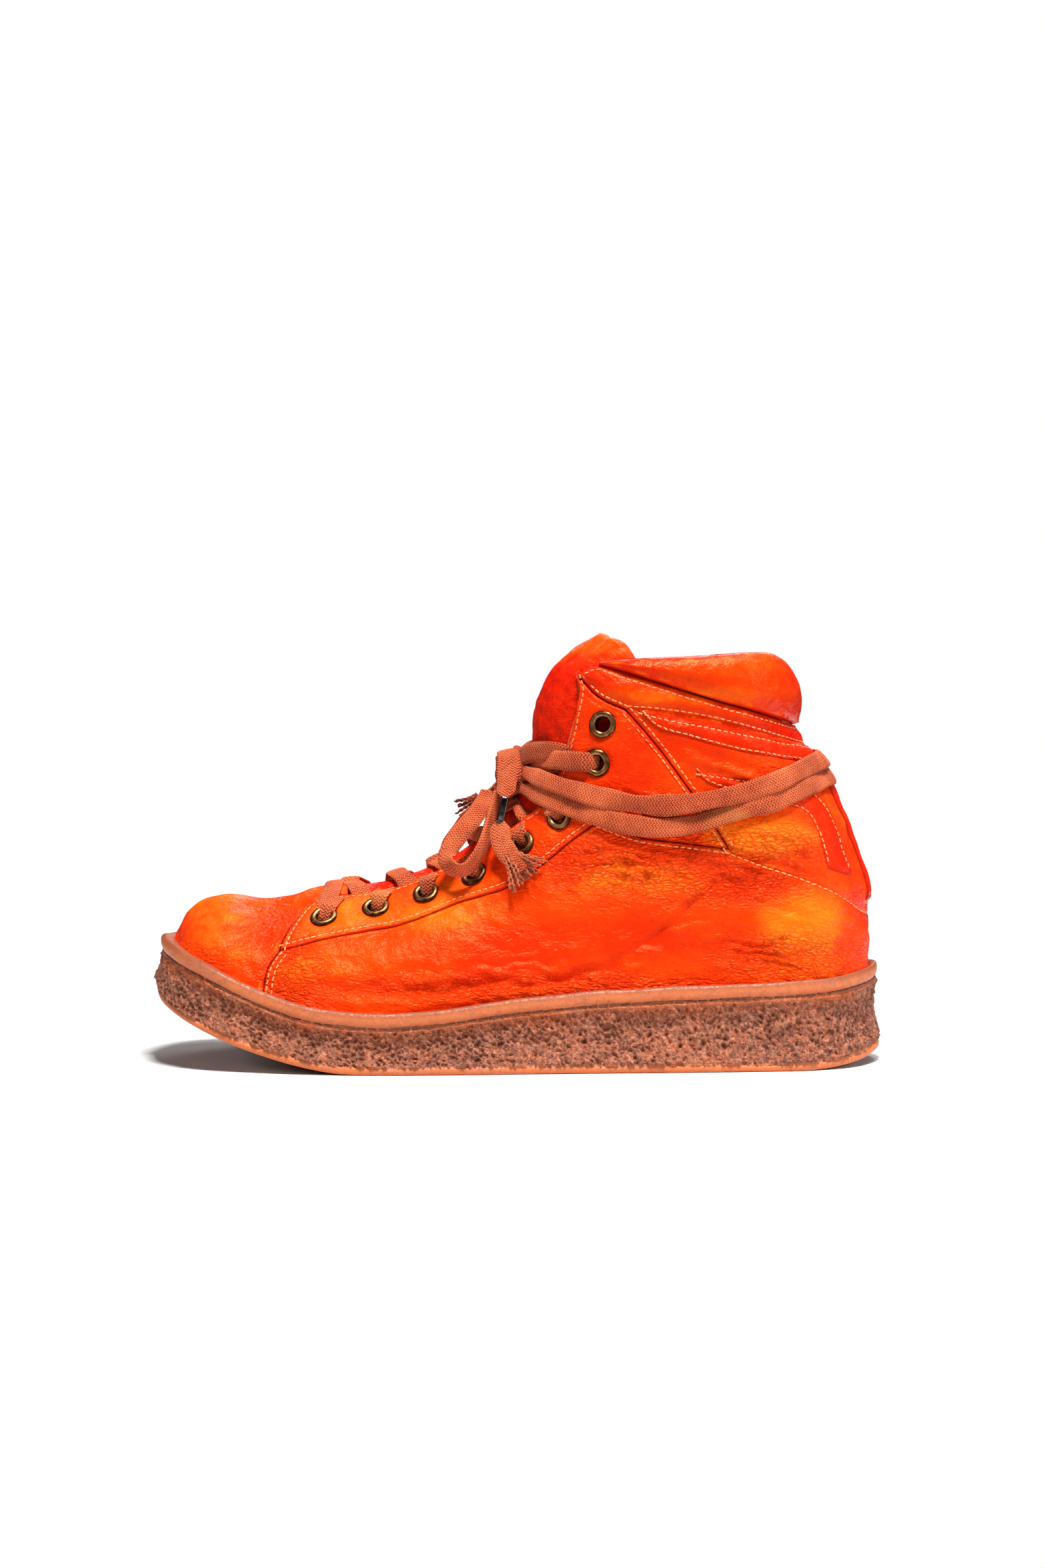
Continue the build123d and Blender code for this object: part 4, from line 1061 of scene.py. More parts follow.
DYE_AND_PAINTED_LIGHT = [  # centre of an area, its half length and half height, paler (+) or deeper (-); partly uneven dyeing, partly painted highlights and painted shade
    ((122, 58), 22, 13, 1.0), ((48, 77), 30, 8, 0.75), ((98, 94), 22, 8, 1.0),
    ((-118, 66), 22, 9, 0.6), ((-45, 63), 46, 9, 0.8), ((-80, 40), 16, 7, 0.3),
    ((68, 151), 40, 4, 0.7), ((30, 110), 9, 9, 0.2), ((-20, 72), 20, 6, 0.3),
    ((46, 121), 15, 18, -0.75), ((62, 54), 26, 9, -0.6), ((92, 133), 34, 9, -0.7),
    ((-5, 48), 46, 11, -0.85), ((0, 36), 60, 4, -0.3), ((105, 152), 16, 12, -0.35),
    ((-97, 52), 9, 9, -0.5), ((20, 84), 14, 7, -0.4), ((88, 72), 16, 8, -0.15),
    ((140, 60), 8, 22, -0.4), ((28, 150), 6, 12, -0.5), ((70, 68), 12, 7, -0.3),
    ((-104, 40), 6, 10, -0.4),
]


def dye_and_painted_light(p):
    """How much paler or deeper the leather is made: partly dyeing worn pale or laid on deeper,
    partly painted highlights and painted shade.
    """
    tone = np.zeros(p.shape[:-1])
    for (x, z), half_x, half_z, amount in DYE_AND_PAINTED_LIGHT:
        away = ((p[..., 0] - x) / half_x) ** 2 + ((p[..., 2] - z) / half_z) ** 2
        tone += amount * np.exp(-(away**1.3))
    return np.clip(tone, -1, 1)


def folds(p, side):
    """How deep the creases are at points of the skin."""
    x, z = p[..., 0], p[..., 2]
    shift = np.where(np.asarray(side) == MEDIAL, 1.0, 0.0)
    wander = 0.8 * DENTS(p * 1.7 + 5)
    x, z = x + 4.0 * shift + wander, z + 1.5 * shift - wander
    depth = np.zeros(x.shape)
    for line, half, deep in CREASES:
        points = smooth_line(line, 2.0)
        a, b = points[:-1], points[1:]
        best = np.full(x.shape, 1e9)
        share = np.zeros(x.shape)
        for i in range(len(a)):
            run = b[i] - a[i]
            t = np.clip(((x - a[i, 0]) * run[0] + (z - a[i, 1]) * run[1]) / (run @ run), 0, 1)
            d = (x - a[i, 0] - t * run[0]) ** 2 + (z - a[i, 1] - t * run[1]) ** 2
            share = np.where(d < best, (i + t) / len(a), share)
            best = np.minimum(best, d)
        fade = np.clip(np.minimum(share, 1 - share) * 5, 0, 1)
        t = np.sqrt(best) / half
        depth += deep * fade * (np.exp(-(t**2)) - 0.45 * np.exp(-((t - 2.1) ** 2)))
    return depth


def flexing(p):
    """Where the leather bends most and its dyed finish has crazed, 0 to 1."""
    strength = np.zeros(p.shape[:-1])
    for (x, z), half_x, half_z, most in FLEX_ZONES:
        away = ((p[..., 0] - x) / half_x) ** 2 + ((p[..., 2] - z) / half_z) ** 2
        strength = np.maximum(strength, most * np.exp(-(away**1.5)))
    return strength


WRINKLES = waves(4, 6.5, 44, stretch=(2.2, 1, 0.8))


class Style:
    """How a panel's face stands on the skin."""

    def __init__(self, base=0.0, fold=1.1, drop=0.85, puff=0.0, reach=5.0, rows=(), worn=1.0):
        self.base, self.fold, self.drop, self.puff = base, fold, drop, puff
        self.reach, self.rows, self.worn = reach, rows, worn

    def face(self, p, side, d):
        """Height above the skin, depth of creases, and swelling, at distances from the edge."""
        swell = relief(p, side)
        flex = flexing(p)
        depth = self.worn * folds(p, side) + 0.42 * flex * (1 - np.abs(WRINKLES(p))) ** 3
        height = self.base + self.worn * swell - depth
        height += self.puff * (1 - np.exp(-np.maximum(d, 0) / self.reach))
        for row in self.rows:
            pressed = 0.38 * np.exp(-(((d - row) / 0.8) ** 2))
            height -= pressed
            depth = depth + 0.4 * pressed
        low = -0.75  # no dent reaches the layers behind
        height = np.where(height < low, low + 0.3 * np.tanh((height - low) / 0.6), height)
        return np.minimum(height, self.base + 2.4), depth, swell, flex


def panel(name, outline, side, style, material, replaces, holes=(), back_face=None):
    """One leather panel on one side, or on both when side is 0."""
    sides = [side] if side else [LATERAL, MEDIAL]
    patch = region(outline, sides, across_back=not side, holes=holes)
    height, depth, swell, flex = style.face(patch.p, patch.side, patch.d)
    under = -1.3 if back_face is None else back_face
    top = np.maximum(height - rounded_edge(patch.d, style.fold, style.drop), under + 0.2)
    piece = shell(name, patch, top, under, material, replaces)
    for key, value in (
        ("crease", depth), ("swell", swell), ("flex", flex), ("dye_and_painted_light", dye_and_painted_light(patch.p))
    ):
        point_value(piece, key, np.concatenate([value, value]))
    return piece


SIDES = (("lateral", LATERAL), ("medial", MEDIAL))
EYELETS = [(-78, 60.5), (-57, 64.5), (-36.5, 70.5), (-16.7, 78), (3, 90.5), (18, 102)]
ANKLE_EYELET = (33, 124)
TOP_EYELET = (35.5, 139.5)
HOLE_RADIUS = 3.4

VAMP_STYLE = Style(rows=(), fold=1.4, drop=0.5)
QUARTER_STYLE = Style(rows=(1.7,), puff=0.35)
FACING_STYLE = Style(base=0.45, puff=0.3, rows=(2.2,), worn=0.55, drop=1.2, fold=1.3)
ANKLE_FACING_STYLE = Style(base=0.45, puff=0.4, rows=(2.2,), worn=0.8, drop=1.2, fold=1.3)
PANEL_STYLE = Style(base=0.0, puff=0.9, reach=9, rows=(), fold=1.6, drop=1.2)
BAND_STYLE = Style(base=-0.7, puff=3.6, reach=4.6, rows=(), fold=1.6, drop=1.0, worn=0.6)
STRIPE_STYLE = Style(base=1.0, puff=0.5, reach=3, rows=(1.3,), fold=0.7, drop=0.7, worn=1.0)
STRAP_STYLE = Style(base=1.5, puff=0.4, reach=3, rows=(1.6,), fold=0.9, drop=0.9, worn=1.0)

panel("vamp_leather", VAMP, 0, VAMP_STYLE, TOE, ("vamp",))
for word, side in SIDES:
    panel(f"quarter_leather_{word}", QUARTER, side, QUARTER_STYLE, UPPER,
          (f"quarter_{word}",))
    panel(f"eyelet_stay_{word}", FACING, side, FACING_STYLE, UPPER,
          (f"facing_{word}",), holes=EYELETS)
    panel(f"ankle_stay_{word}", ANKLE_FACING, side, ANKLE_FACING_STYLE, UPPER,
          (f"ankle_facing_{word}",), holes=[ANKLE_EYELET, TOP_EYELET])
    panel(f"ankle_leather_{word}", ANKLE_PANEL, side, PANEL_STYLE, UPPER,
          (f"ankle_panel_{word}",))
    panel(f"collar_band_leather_{word}", COLLAR_BAND, side, BAND_STYLE, ROLL_SKIN,
          (f"collar_band_{word}",))
    panel(f"upper_stripe_leather_{word}", STRIPE_UPPER, side, STRIPE_STYLE, TRIM,
          (f"stripe_upper_{word}",), back_face=-0.4)
    panel(f"rear_stripe_leather_{word}", STRIPE_REAR, side, STRIPE_STYLE, TRIM,
          (f"stripe_rear_{word}",), back_face=-0.4)

STRAP_Z = np.linspace(66.5, 124, 12)
STRAP_REACH = 11.0**2 / (2 * BACK_RADIUS)
HEEL_STRAP = [
    [(float(curve(BACK_LINE, z)) - STRAP_REACH, float(z)) for z in STRAP_Z],
    [(float(curve(BACK_LINE, 124)) - STRAP_REACH, 124), (165, 124)],
    [(165, 124), (165, 66.5)],
    [(165, 66.5), (float(curve(BACK_LINE, 66.5)) - STRAP_REACH, 66.5)],
]
panel("heel_strap_leather", HEEL_STRAP, 0, STRAP_STYLE, TRIM,
      ("heel_strap",), back_face=-0.3)

# ---------------------------------------------------------------- the padded collar
ROLL = [
    [(33.5, 163.4)] + BAND_UPPER[2:-1] + [(122, 136.6)],
    back([(33.2, 165.0)] + ROLL_TOP[1:]), [(33.2, 165.0), (33.5, 163.4)],
]
patch = region(ROLL, [LATERAL, MEDIAL], levels=(0.3, 0.8, 1.6, 2.6, 4.0), across_back=True)
fullness = np.sqrt(np.clip(1 - (1 - np.clip(patch.d / 11, 0, 1)) ** 2, 0, 1))
swell = relief(patch.p, patch.side)
top = -1.6 + 6.0 * fullness + 0.3 * swell
bottom = -1.8 - 4.6 * fullness
collar = shell("collar_padding_leather", patch, top, bottom, ROLL_SKIN,
               ("collar_roll",))
for key, value in (
    ("crease", 0 * top), ("swell", swell), ("flex", 0 * top), ("dye_and_painted_light", dye_and_painted_light(patch.p))
):
    point_value(collar, key, np.concatenate([value, value]))

# ---------------------------------------------------------------- stitches
def capsule(length, radius, around=7):
    """A stitch: a short round bar with domed ends, along X."""
    half = length / 2
    ends = [(-half, 0.35), (-half + 0.3 * radius, 0.8), (-half + radius, 1.0)]
    profile = ends + [(-x, r) for x, r in ends[::-1]]
    turn = np.linspace(0, 2 * math.pi, around, endpoint=False)
    points = [
        (x, r * radius * math.cos(a), r * radius * math.sin(a) * 0.8)
        for x, r in profile for a in turn
    ]
    return np.array(points), tube_faces(len(profile), around)


def stitches(name, places, forward, up, length, radius, material):
    """One mesh of stitches lying at places, along their seams."""
    local = np.random.default_rng(len(places))
    shape, faces = capsule(length, radius)
    forward, up = unit(forward), unit(up)
    aside = unit(np.cross(up, forward))
    lean = local.normal(0, 0.10, len(places))[:, None]
    forward = unit(forward + aside * lean)
    aside = np.cross(up, forward)
    scale = local.uniform(0.88, 1.1, len(places))[:, None, None]
    points = places[:, None] + scale * (
        shape[None, :, :1] * forward[:, None]
        + shape[None, :, 1:2] * aside[:, None]
        + shape[None, :, 2:] * up[:, None]
    )
    count = len(shape)
    every = [
        tuple(k + i * count for k in f) for i in range(len(places)) for f in faces
    ]
    return new_mesh(name, points.reshape(-1, 3), every, material)


def seam_places(edges, side, inset, style, pitch, keep=(0.0, 1.0)):
    """Evenly spaced stitch places beside a seam, on the panel to its left."""
    line = np.concatenate([smooth_line(edge, 0.5) for edge in edges])
    first, last = int(keep[0] * len(line)), int(keep[1] * len(line))
    line = line[first:last]
    x_back = curve(BACK_LINE, line[:, 1]) - 0.15
    line = line[(line[:, 0] < x_back) | (line[:, 1] < 20)]
    p, n = on_skin(line[:, 0], line[:, 1], side)
    forward = unit(np.gradient(p, axis=0))
    p = p + unit(np.cross(n, forward)) * inset * side
    along = np.concatenate([[0], np.cumsum(np.linalg.norm(np.diff(p, axis=0), axis=1))])
    at = np.arange(pitch / 2, along[-1], pitch)
    p = np.stack([np.interp(at, along, p[:, k]) for k in range(3)], -1)
    here, up = on_skin(p[:, 0], p[:, 2], side)
    height = style.face(here, side, np.full(len(here), abs(inset)))[0]
    ahead = unit(np.gradient(here, axis=0)) if len(here) > 1 else forward[: len(here)]
    return here + up * (height + 0.12)[:, None], ahead, up


# seam, distance inside the panel (negative to the seam's right), style, kept part
SEAM_ROWS = [
    ([TOE_SEAM], 1.3, QUARTER_STYLE, (0.35, 1)),
    ([TOE_SEAM], 3.6, QUARTER_STYLE, (0.35, 1)),
    ([FACING_FRONT, FACING_TIP], 2.2, FACING_STYLE, (0, 1)),
    ([FACING_INNER], 2.2, FACING_STYLE, (0.02, 1)),
    ([FACING_LOWER], -2.2, FACING_STYLE, (0.0, 1)),
    ([QUARTER_TOP_FRONT, QUARTER_TOP_REAR], 1.7, QUARTER_STYLE, (0, 0.86)),
    ([ANKLE_FRONT], 2.2, ANKLE_FACING_STYLE, (0, 1)),
    ([ANKLE_REAR], -2.0, ANKLE_FACING_STYLE, (0, 1)),
    ([ANKLE_REAR], 1.6, PANEL_STYLE, (0, 1)),
    ([BAND_LOWER_FRONT], -2.0, ANKLE_FACING_STYLE, (0.1, 1)),
    ([BAND_UPPER], 2.4, BAND_STYLE, (0.03, 0.86)),
    ([BAND_LOWER_FRONT, BAND_LOWER_REAR], -1.8, BAND_STYLE, (0.06, 0.84)),
    ([STRIPE_UPPER[0]], 1.3, STRIPE_STYLE, (0.01, 0.93)),
    ([STRIPE_UPPER[2]], 1.3, STRIPE_STYLE, (0.07, 0.99)),
    ([STRIPE_REAR[0]], 1.3, STRIPE_STYLE, (0.01, 0.97)),
    ([STRIPE_REAR[2]], 1.3, STRIPE_STYLE, (0.03, 0.99)),
]

for word, side in SIDES:
    found = []
    for edges, inset, style, keep in SEAM_ROWS:
        found.append(seam_places(edges, side, -inset, style, 2.7, keep))
    places, ahead, up = (np.concatenate([f[k] for f in found]) for k in range(3))
    stitches(f"upper_stitching_{word}", places, ahead, up, 1.9, 0.3, THREAD)

# ---------------------------------------------------------------- eyelets
EYELET_PROFILE = [  # radius, height above the leather, how bright it is made: wear from rubbing and painted highlight
    (2.8, -4.0, 0), (2.75, -1.0, 0), (2.85, -0.1, 0.1), (3.1, 0.35, 0.5), (3.6, 0.75, 1.0),
    (4.2, 0.92, 1.0), (4.8, 0.8, 0.8), (5.3, 0.45, 0.6), (5.6, 0.1, 0.3), (5.55, -0.25, 0),
    (3.4, -0.3, 0), (3.35, -4.0, 0),
]


def eyelets(name, places, side, style, replaces):
    """Rolled brass eyelets, each a little bent and unevenly set."""
    around = 40
    turn = np.linspace(0, 2 * math.pi, around, endpoint=False)
    points, faces, rub_and_highlight = [], [], []
    for i, (x, z) in enumerate(places):
        p, n = (v[0] for v in on_skin(np.array([x]), np.array([z]), side))
        a = unit(np.cross(n, (0.0, 0.0, 1.0)))
        b = np.cross(n, a)
        lift = float(style.face(p[None], side, np.array([9.0]))[0][0])
        uneven = 1 + 0.025 * np.sin(2 * turn + i * 1.7) + 0.012 * np.sin(5 * turn + i)
        start = len(points) * around
        for r, h, shine in EYELET_PROFILE:
            ring = p + n * (lift + h) + r * uneven[:, None] * (
                a * np.cos(turn)[:, None] + b * np.sin(turn)[:, None]
            )
            points.append(ring)
            rub_and_highlight += [shine] * around
        rings = len(EYELET_PROFILE)
        faces += tube_faces(rings, around, start, closed=True)
    piece = new_mesh(name, np.concatenate(points), faces, BRASS, replaces)
    point_value(piece, "rub_and_highlight", rub_and_highlight)
    return piece


for word, side in SIDES:
    eyelets(f"brass_eyelets_{word}", EYELETS + [ANKLE_EYELET], side, FACING_STYLE,
            (f"eyelets_{word}",))
    eyelets(f"brass_top_eyelet_{word}", [TOP_EYELET], side, ANKLE_FACING_STYLE,
            (f"top_eyelet_{word}",))


# ---------------------------------------------------------------- laces on the upper
def cross_place(x, z, side):
    """Station and crosswise place of a side-view point: 0 on the ridge, 1 at the floor."""
    u, share = locate(x, z)
    return float(u), -side * float(np.arccos(np.clip(1 - 2 * share, -1, 1)) / math.pi)


def skin_frame(u, w):
    """Points and outward normals of the skin at stations and crosswise places."""
    def at(u, w):
        share = (1 - np.cos(math.pi * np.abs(w))) / 2
        return skin(u, share, np.where(w < 0, LATERAL, MEDIAL))

    here = at(u, w)
    along, across = at(u + 0.02, w) - at(u - 0.02, w), at(u, w + 2e-3) - at(u, w - 2e-3)
    return here, unit(np.cross(along, across))


inner_u, inner_share = locate(*np.array(smooth_line(FACING_INNER + ANKLE_FRONT[1:3])).T)
INNER_EDGE = np.arccos(np.clip(1 - 2 * inner_share, -1, 1)) / math.pi


def strap_over(start, end, over, side):
    """A lace from its eyelet across the tongue and in under the other stay."""
    u0, w0 = cross_place(*start, side)
    u1, w1 = cross_place(*end, -side)
    t = np.linspace(0, 1, 160)
    ease = t + 0.04 * np.sin(2 * math.pi * t)
    u, w = u0 + (u1 - u0) * ease, w0 + (w1 - w0) * t
    here, up = skin_frame(u, w)
    edge = np.interp(u, inner_u, INNER_EDGE)
    beyond = (np.abs(w) - edge) * np.sign(w) * np.sign(w1) / 0.045
    from_hole = np.linalg.norm(here - here[0], axis=1)
    lift = -2.5 + 4.7 * np.clip(from_hole / 4.6, 0, 1) ** 0.7
    settle = np.clip((from_hole - 5) / 9, 0, 1)
    lift = lift * (1 - settle) + 1.0 * settle
    lift += over * 1.7 * np.exp(-(((t - 0.5) / 0.16) ** 2))
    under = np.clip(beyond + 0.9, 0, 1)
    lift = lift * (1 - under) - 2.3 * under
    keep = beyond < 1.6
    width = 8.2 - 2.6 * np.exp(-((from_hole / 3.5) ** 2))
    return (here + up * lift[:, None])[keep], up[keep], width[keep]


def joined(pieces, name):
    """Several meshes made one piece."""
    with bpy.context.temp_override(
        active_object=pieces[0], object=pieces[0], selected_objects=pieces,
        selected_editable_objects=pieces,
    ):
        bpy.ops.object.join()
    pieces[0].name = pieces[0].data.name = name
    return pieces[0]


stops = EYELETS + [ANKLE_EYELET]
bars = []
for i, (start, end) in enumerate(zip(stops, stops[1:])):
    for hand, side in enumerate((LATERAL, MEDIAL)):
        over = 1 if (i + hand) % 2 == 0 else 0
        line, up, width = strap_over(start, end, over, side)
        bars.append(ribbon(f"bar_{i}_{hand}", line, up, width))
u0, w0 = cross_place(*EYELETS[0], LATERAL)
w = np.linspace(w0, -w0, 140)
here, up = skin_frame(np.full(140, u0) + 0.25 * np.cos(w / w0 * math.pi / 2), w)
rise = np.minimum(np.linalg.norm(here - here[0], axis=1), np.linalg.norm(here - here[-1], axis=1))
lift = -2.2 + 3.9 * np.clip(rise / 4.6, 0, 1) ** 0.7
bars.append(ribbon("bar_front", here + up * lift[:, None], up, 8.0))
u0, w0 = cross_place(*ANKLE_EYELET, LATERAL)
w = np.linspace(w0, -w0, 160)
u = cross_place(6.0, 121, LATERAL)[0] + (u0 - cross_place(6.0, 121, LATERAL)[0]) * np.abs(w / w0)
here, up = skin_frame(u, w)
rise = np.minimum(np.linalg.norm(here - here[0], axis=1), np.linalg.norm(here - here[-1], axis=1))
lift = -2.2 + 4.4 * np.clip(rise / 4.6, 0, 1) ** 0.7
bars.append(ribbon("bar_ankle", here + up * lift[:, None], up, 8.2))
lace_bars = joined(bars, "crossed_laces")
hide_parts("lace_bars")

WRAP_UPPER = [
    (-3, 119.5), (5, 119), (22, 113.5), (40, 109), (60, 107), (80, 109.5), (100, 114.5),
    (120, 122), (145, 128),
]
WRAP_LOWER = [
    (-1, 113), (5, 112), (20, 107), (40, 100.5), (58, 98), (74, 100), (90, 105),
    (110, 111), (128, 117), (150, 121),
]


def ankle_wrap(route, lifts):
    """A lace once round the ankle: points, and the directions its face looks."""
    x = np.linspace(route[0][0], 140, 4000)
    z = curve(route, x)
    line = np.column_stack([x, z])
    ahead = np.flatnonzero(x > curve(BACK_LINE, z) - 0.02)[0]
    line = line[:ahead]
    top_share = locate(line[:, 0], line[:, 1])[1]
    line = line[top_share > 2e-3]
    halves = []
    for side in (LATERAL, MEDIAL):
        p, n = on_skin(line[:, 0], line[:, 1], side)
        lift = (curve(lifts, line[:, 0]) + np.maximum(relief(p, side), 0) * 0.8)[:, None]
        both = resampled(np.column_stack([p + n * lift, n]), 1.5)
        halves.append(both if side == LATERAL else both[::-1])
    both = np.concatenate(halves)
    return resampled(both, 1.2)


for name, route, lifts, node in (
    ("ankle_wrap_upper", WRAP_UPPER, [(-5, 4.4), (30, 3.4), (70, 2.4), (100, 3.6), (150, 3.9)],
     "lace_wrap_upper"),
    ("ankle_wrap_lower", WRAP_LOWER, [(-5, 2.8), (30, 2.0), (70, 1.7), (100, 2.6), (150, 2.7)],
     "lace_wrap_lower"),
):
    both = ankle_wrap(route, lifts)
    line, up = both[:, :3], unit(both[:, 3:6])
    tilt = 0.16 * FLUTTER(line * 0.35)
    up = unit(up + np.cross(up, unit(np.gradient(line, axis=0))) * tilt[:, None])
    width = 8.2 + 0.5 * FLUTTER(line * 0.5) - 3.2 * np.exp(-(((line[:, 0] - 2) / 9) ** 2))
    ribbon(name, line, up, width, 1.5, COTTON, (node,), step=0.8)

# The knot: bands of lace turned over and round each other.
KNOT_BANDS = [
    ([(2, 7, 120), (-1, 4, 125), (-3, -2, 127.3), (-3, -8, 127), (-2.6, -12, 124.5),
      (-2.4, -14.5, 120), (-2.6, -15.5, 116)], (-0.4, -1.2, 0.6), 9.2),
    ([(5, 9, 116), (4.5, 5, 123), (3, 0, 127.5), (2.5, -6, 127.5), (4, -10.5, 124),
      (5, -13, 118), (3.5, -13, 112)], (0.2, -1.2, 0.6), 7.2),
    ([(-4, 10, 113), (-6, 5, 110.5), (-6.5, 0, 111.5), (-6, -5, 110.5), (-3, -10, 112),
      (2, -13, 115)], (-1, -0.2, -0.4), 7.0),
    ([(0, 11, 121), (-3.5, 7, 124.5), (-5, 1, 126), (-5, -5, 125), (-5, -9, 120),
      (-4.5, -9, 113)], (-0.9, -0.5, 0.6), 7.0),
    ([(6, 10, 112), (-1, 9, 117), (-4, 4, 120), (-6, 0, 119), (-5.5, -5, 116),
      (-3, -9, 111)], (-1, 0, 0.3), 7.0),
]
CORE = np.array([-2.0, 0.0, 118.0])
bands = []
for i, (points, facing, width) in enumerate(KNOT_BANDS):
    line = curve(np.column_stack([np.arange(len(points)), points]),
                 np.linspace(0, len(points) - 1, 90))
    outward = unit(line - CORE) + 0.4 * unit(np.array(facing, float))
    material = COTTON_SHADED if i in (1, 3) else COTTON
    bands.append(ribbon(f"knot_band_{i}", line, outward, width, 1.9, material))
for side in (LATERAL, MEDIAL):
    line = curve([(0, 5.2, 119), (1, 7.5, 124.5), (2, 12, 127.6), (3, 18, 127.6), (4, 24, 125)],
                 np.linspace(0, 4, 70))
    p, n = on_skin(line[:, 0], line[:, 1], side)
    lift = curve([(0, 5.5), (1, 5.0), (2, 4.0), (3, 1.0), (4, -2.4)], np.linspace(0, 4, 70))
    bands.append(ribbon(f"knot_lobe_{side}", p + n * lift[:, None], n, 8.4, 1.8, COTTON_SHADED))
turn = np.linspace(0, 2 * math.pi, 28, endpoint=False)
polar = np.linspace(-1.45, 1.45, 12)
core_points = [
    CORE + np.array((6.5 * math.cos(e) * math.cos(a), 8.5 * math.cos(e) * math.sin(a),
                     6.5 * math.sin(e))) for e in polar for a in turn
]
core = new_mesh("knot_core", core_points, tube_faces(len(polar), len(turn)), COTTON_SHADED)
for key in ("along", "across"):
    point_value(core, key, np.array(core_points)[:, 2])
knot = joined(bands + [core], "ankle_knot")
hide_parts("lace_knot")

# The metal tip: a rolled tube crimped round the front end.
TIP_START = 5.0  # up from a bend of the front end
TIP_PROFILE = [
    (1.3, 0), (1.75, 0.05), (1.95, 0.4), (1.82, 1.2), (1.78, 5.6), (1.82, 10.2), (1.95, 11.1),
    (1.75, 11.45), (1.3, 11.5),
]
low, high = np.array(FRONT_END[2], float), np.array(FRONT_END[1], float)
axis = unit(high - low)
aside = unit(np.cross(axis, (0.0, 1.0, 0.0)))
other = np.cross(axis, aside)
turn = np.linspace(0, 2 * math.pi, 32, endpoint=False)
squash = 1 - 0.1 * np.cos(4 * turn)
tip_points = [
    low + axis * (TIP_START + h) + r * s * (aside * math.cos(a) + other * math.sin(a))
    for r, h in TIP_PROFILE for a, s in zip(turn, squash)
]
tip = new_mesh("lace_tip", tip_points, tube_faces(len(TIP_PROFILE), 32), STEEL,
               ("aglet",))
# the crimped ridges made brighter: wear from rubbing and painted highlight
point_value(tip, "rub_and_highlight", np.repeat([0.7 if r > 1.9 else 0.25 for r, _ in TIP_PROFILE], 32))

# ---------------------------------------------------------------- tongue
TONGUE_EDGE = [
    (-80, 62), (-60, 63.5), (-40, 69), (-20, 78), (-5, 88), (10, 99), (20, 109), (27, 120),
    (29, 128.6),
]
TONGUE_SECTIONS = [  # front x, z; how far it leans back; thickness; share of the half width
    (7.4, 124, 0, 7, 1.0), (8.0, 129.4, 0, 7, 1.0), (7.9, 138, 3, 7, 1.0),
    (9.3, 147, 13, 7.5, 1.0), (12.6, 155.5, 24, 8.5, 0.98), (17.5, 163, 38, 9, 0.96),
    (25, 169.3, 50, 9, 0.93), (33, 174.6, 57, 8, 0.88), (37, 177.0, 58, 5, 0.78),
]
CROWN = 25.0  # radius of the tongue across the ankle
WRAP_ANGLE = math.radians(71)  # how far round the ankle it reaches on each side
TONGUE_CHANNELS = np.radians((-52, -20, 20, 52))
HINGE = (12.0, 129.0)
BEND_REACH = 7.0  # reach below and above the hinge line; the points worked out from it are not used


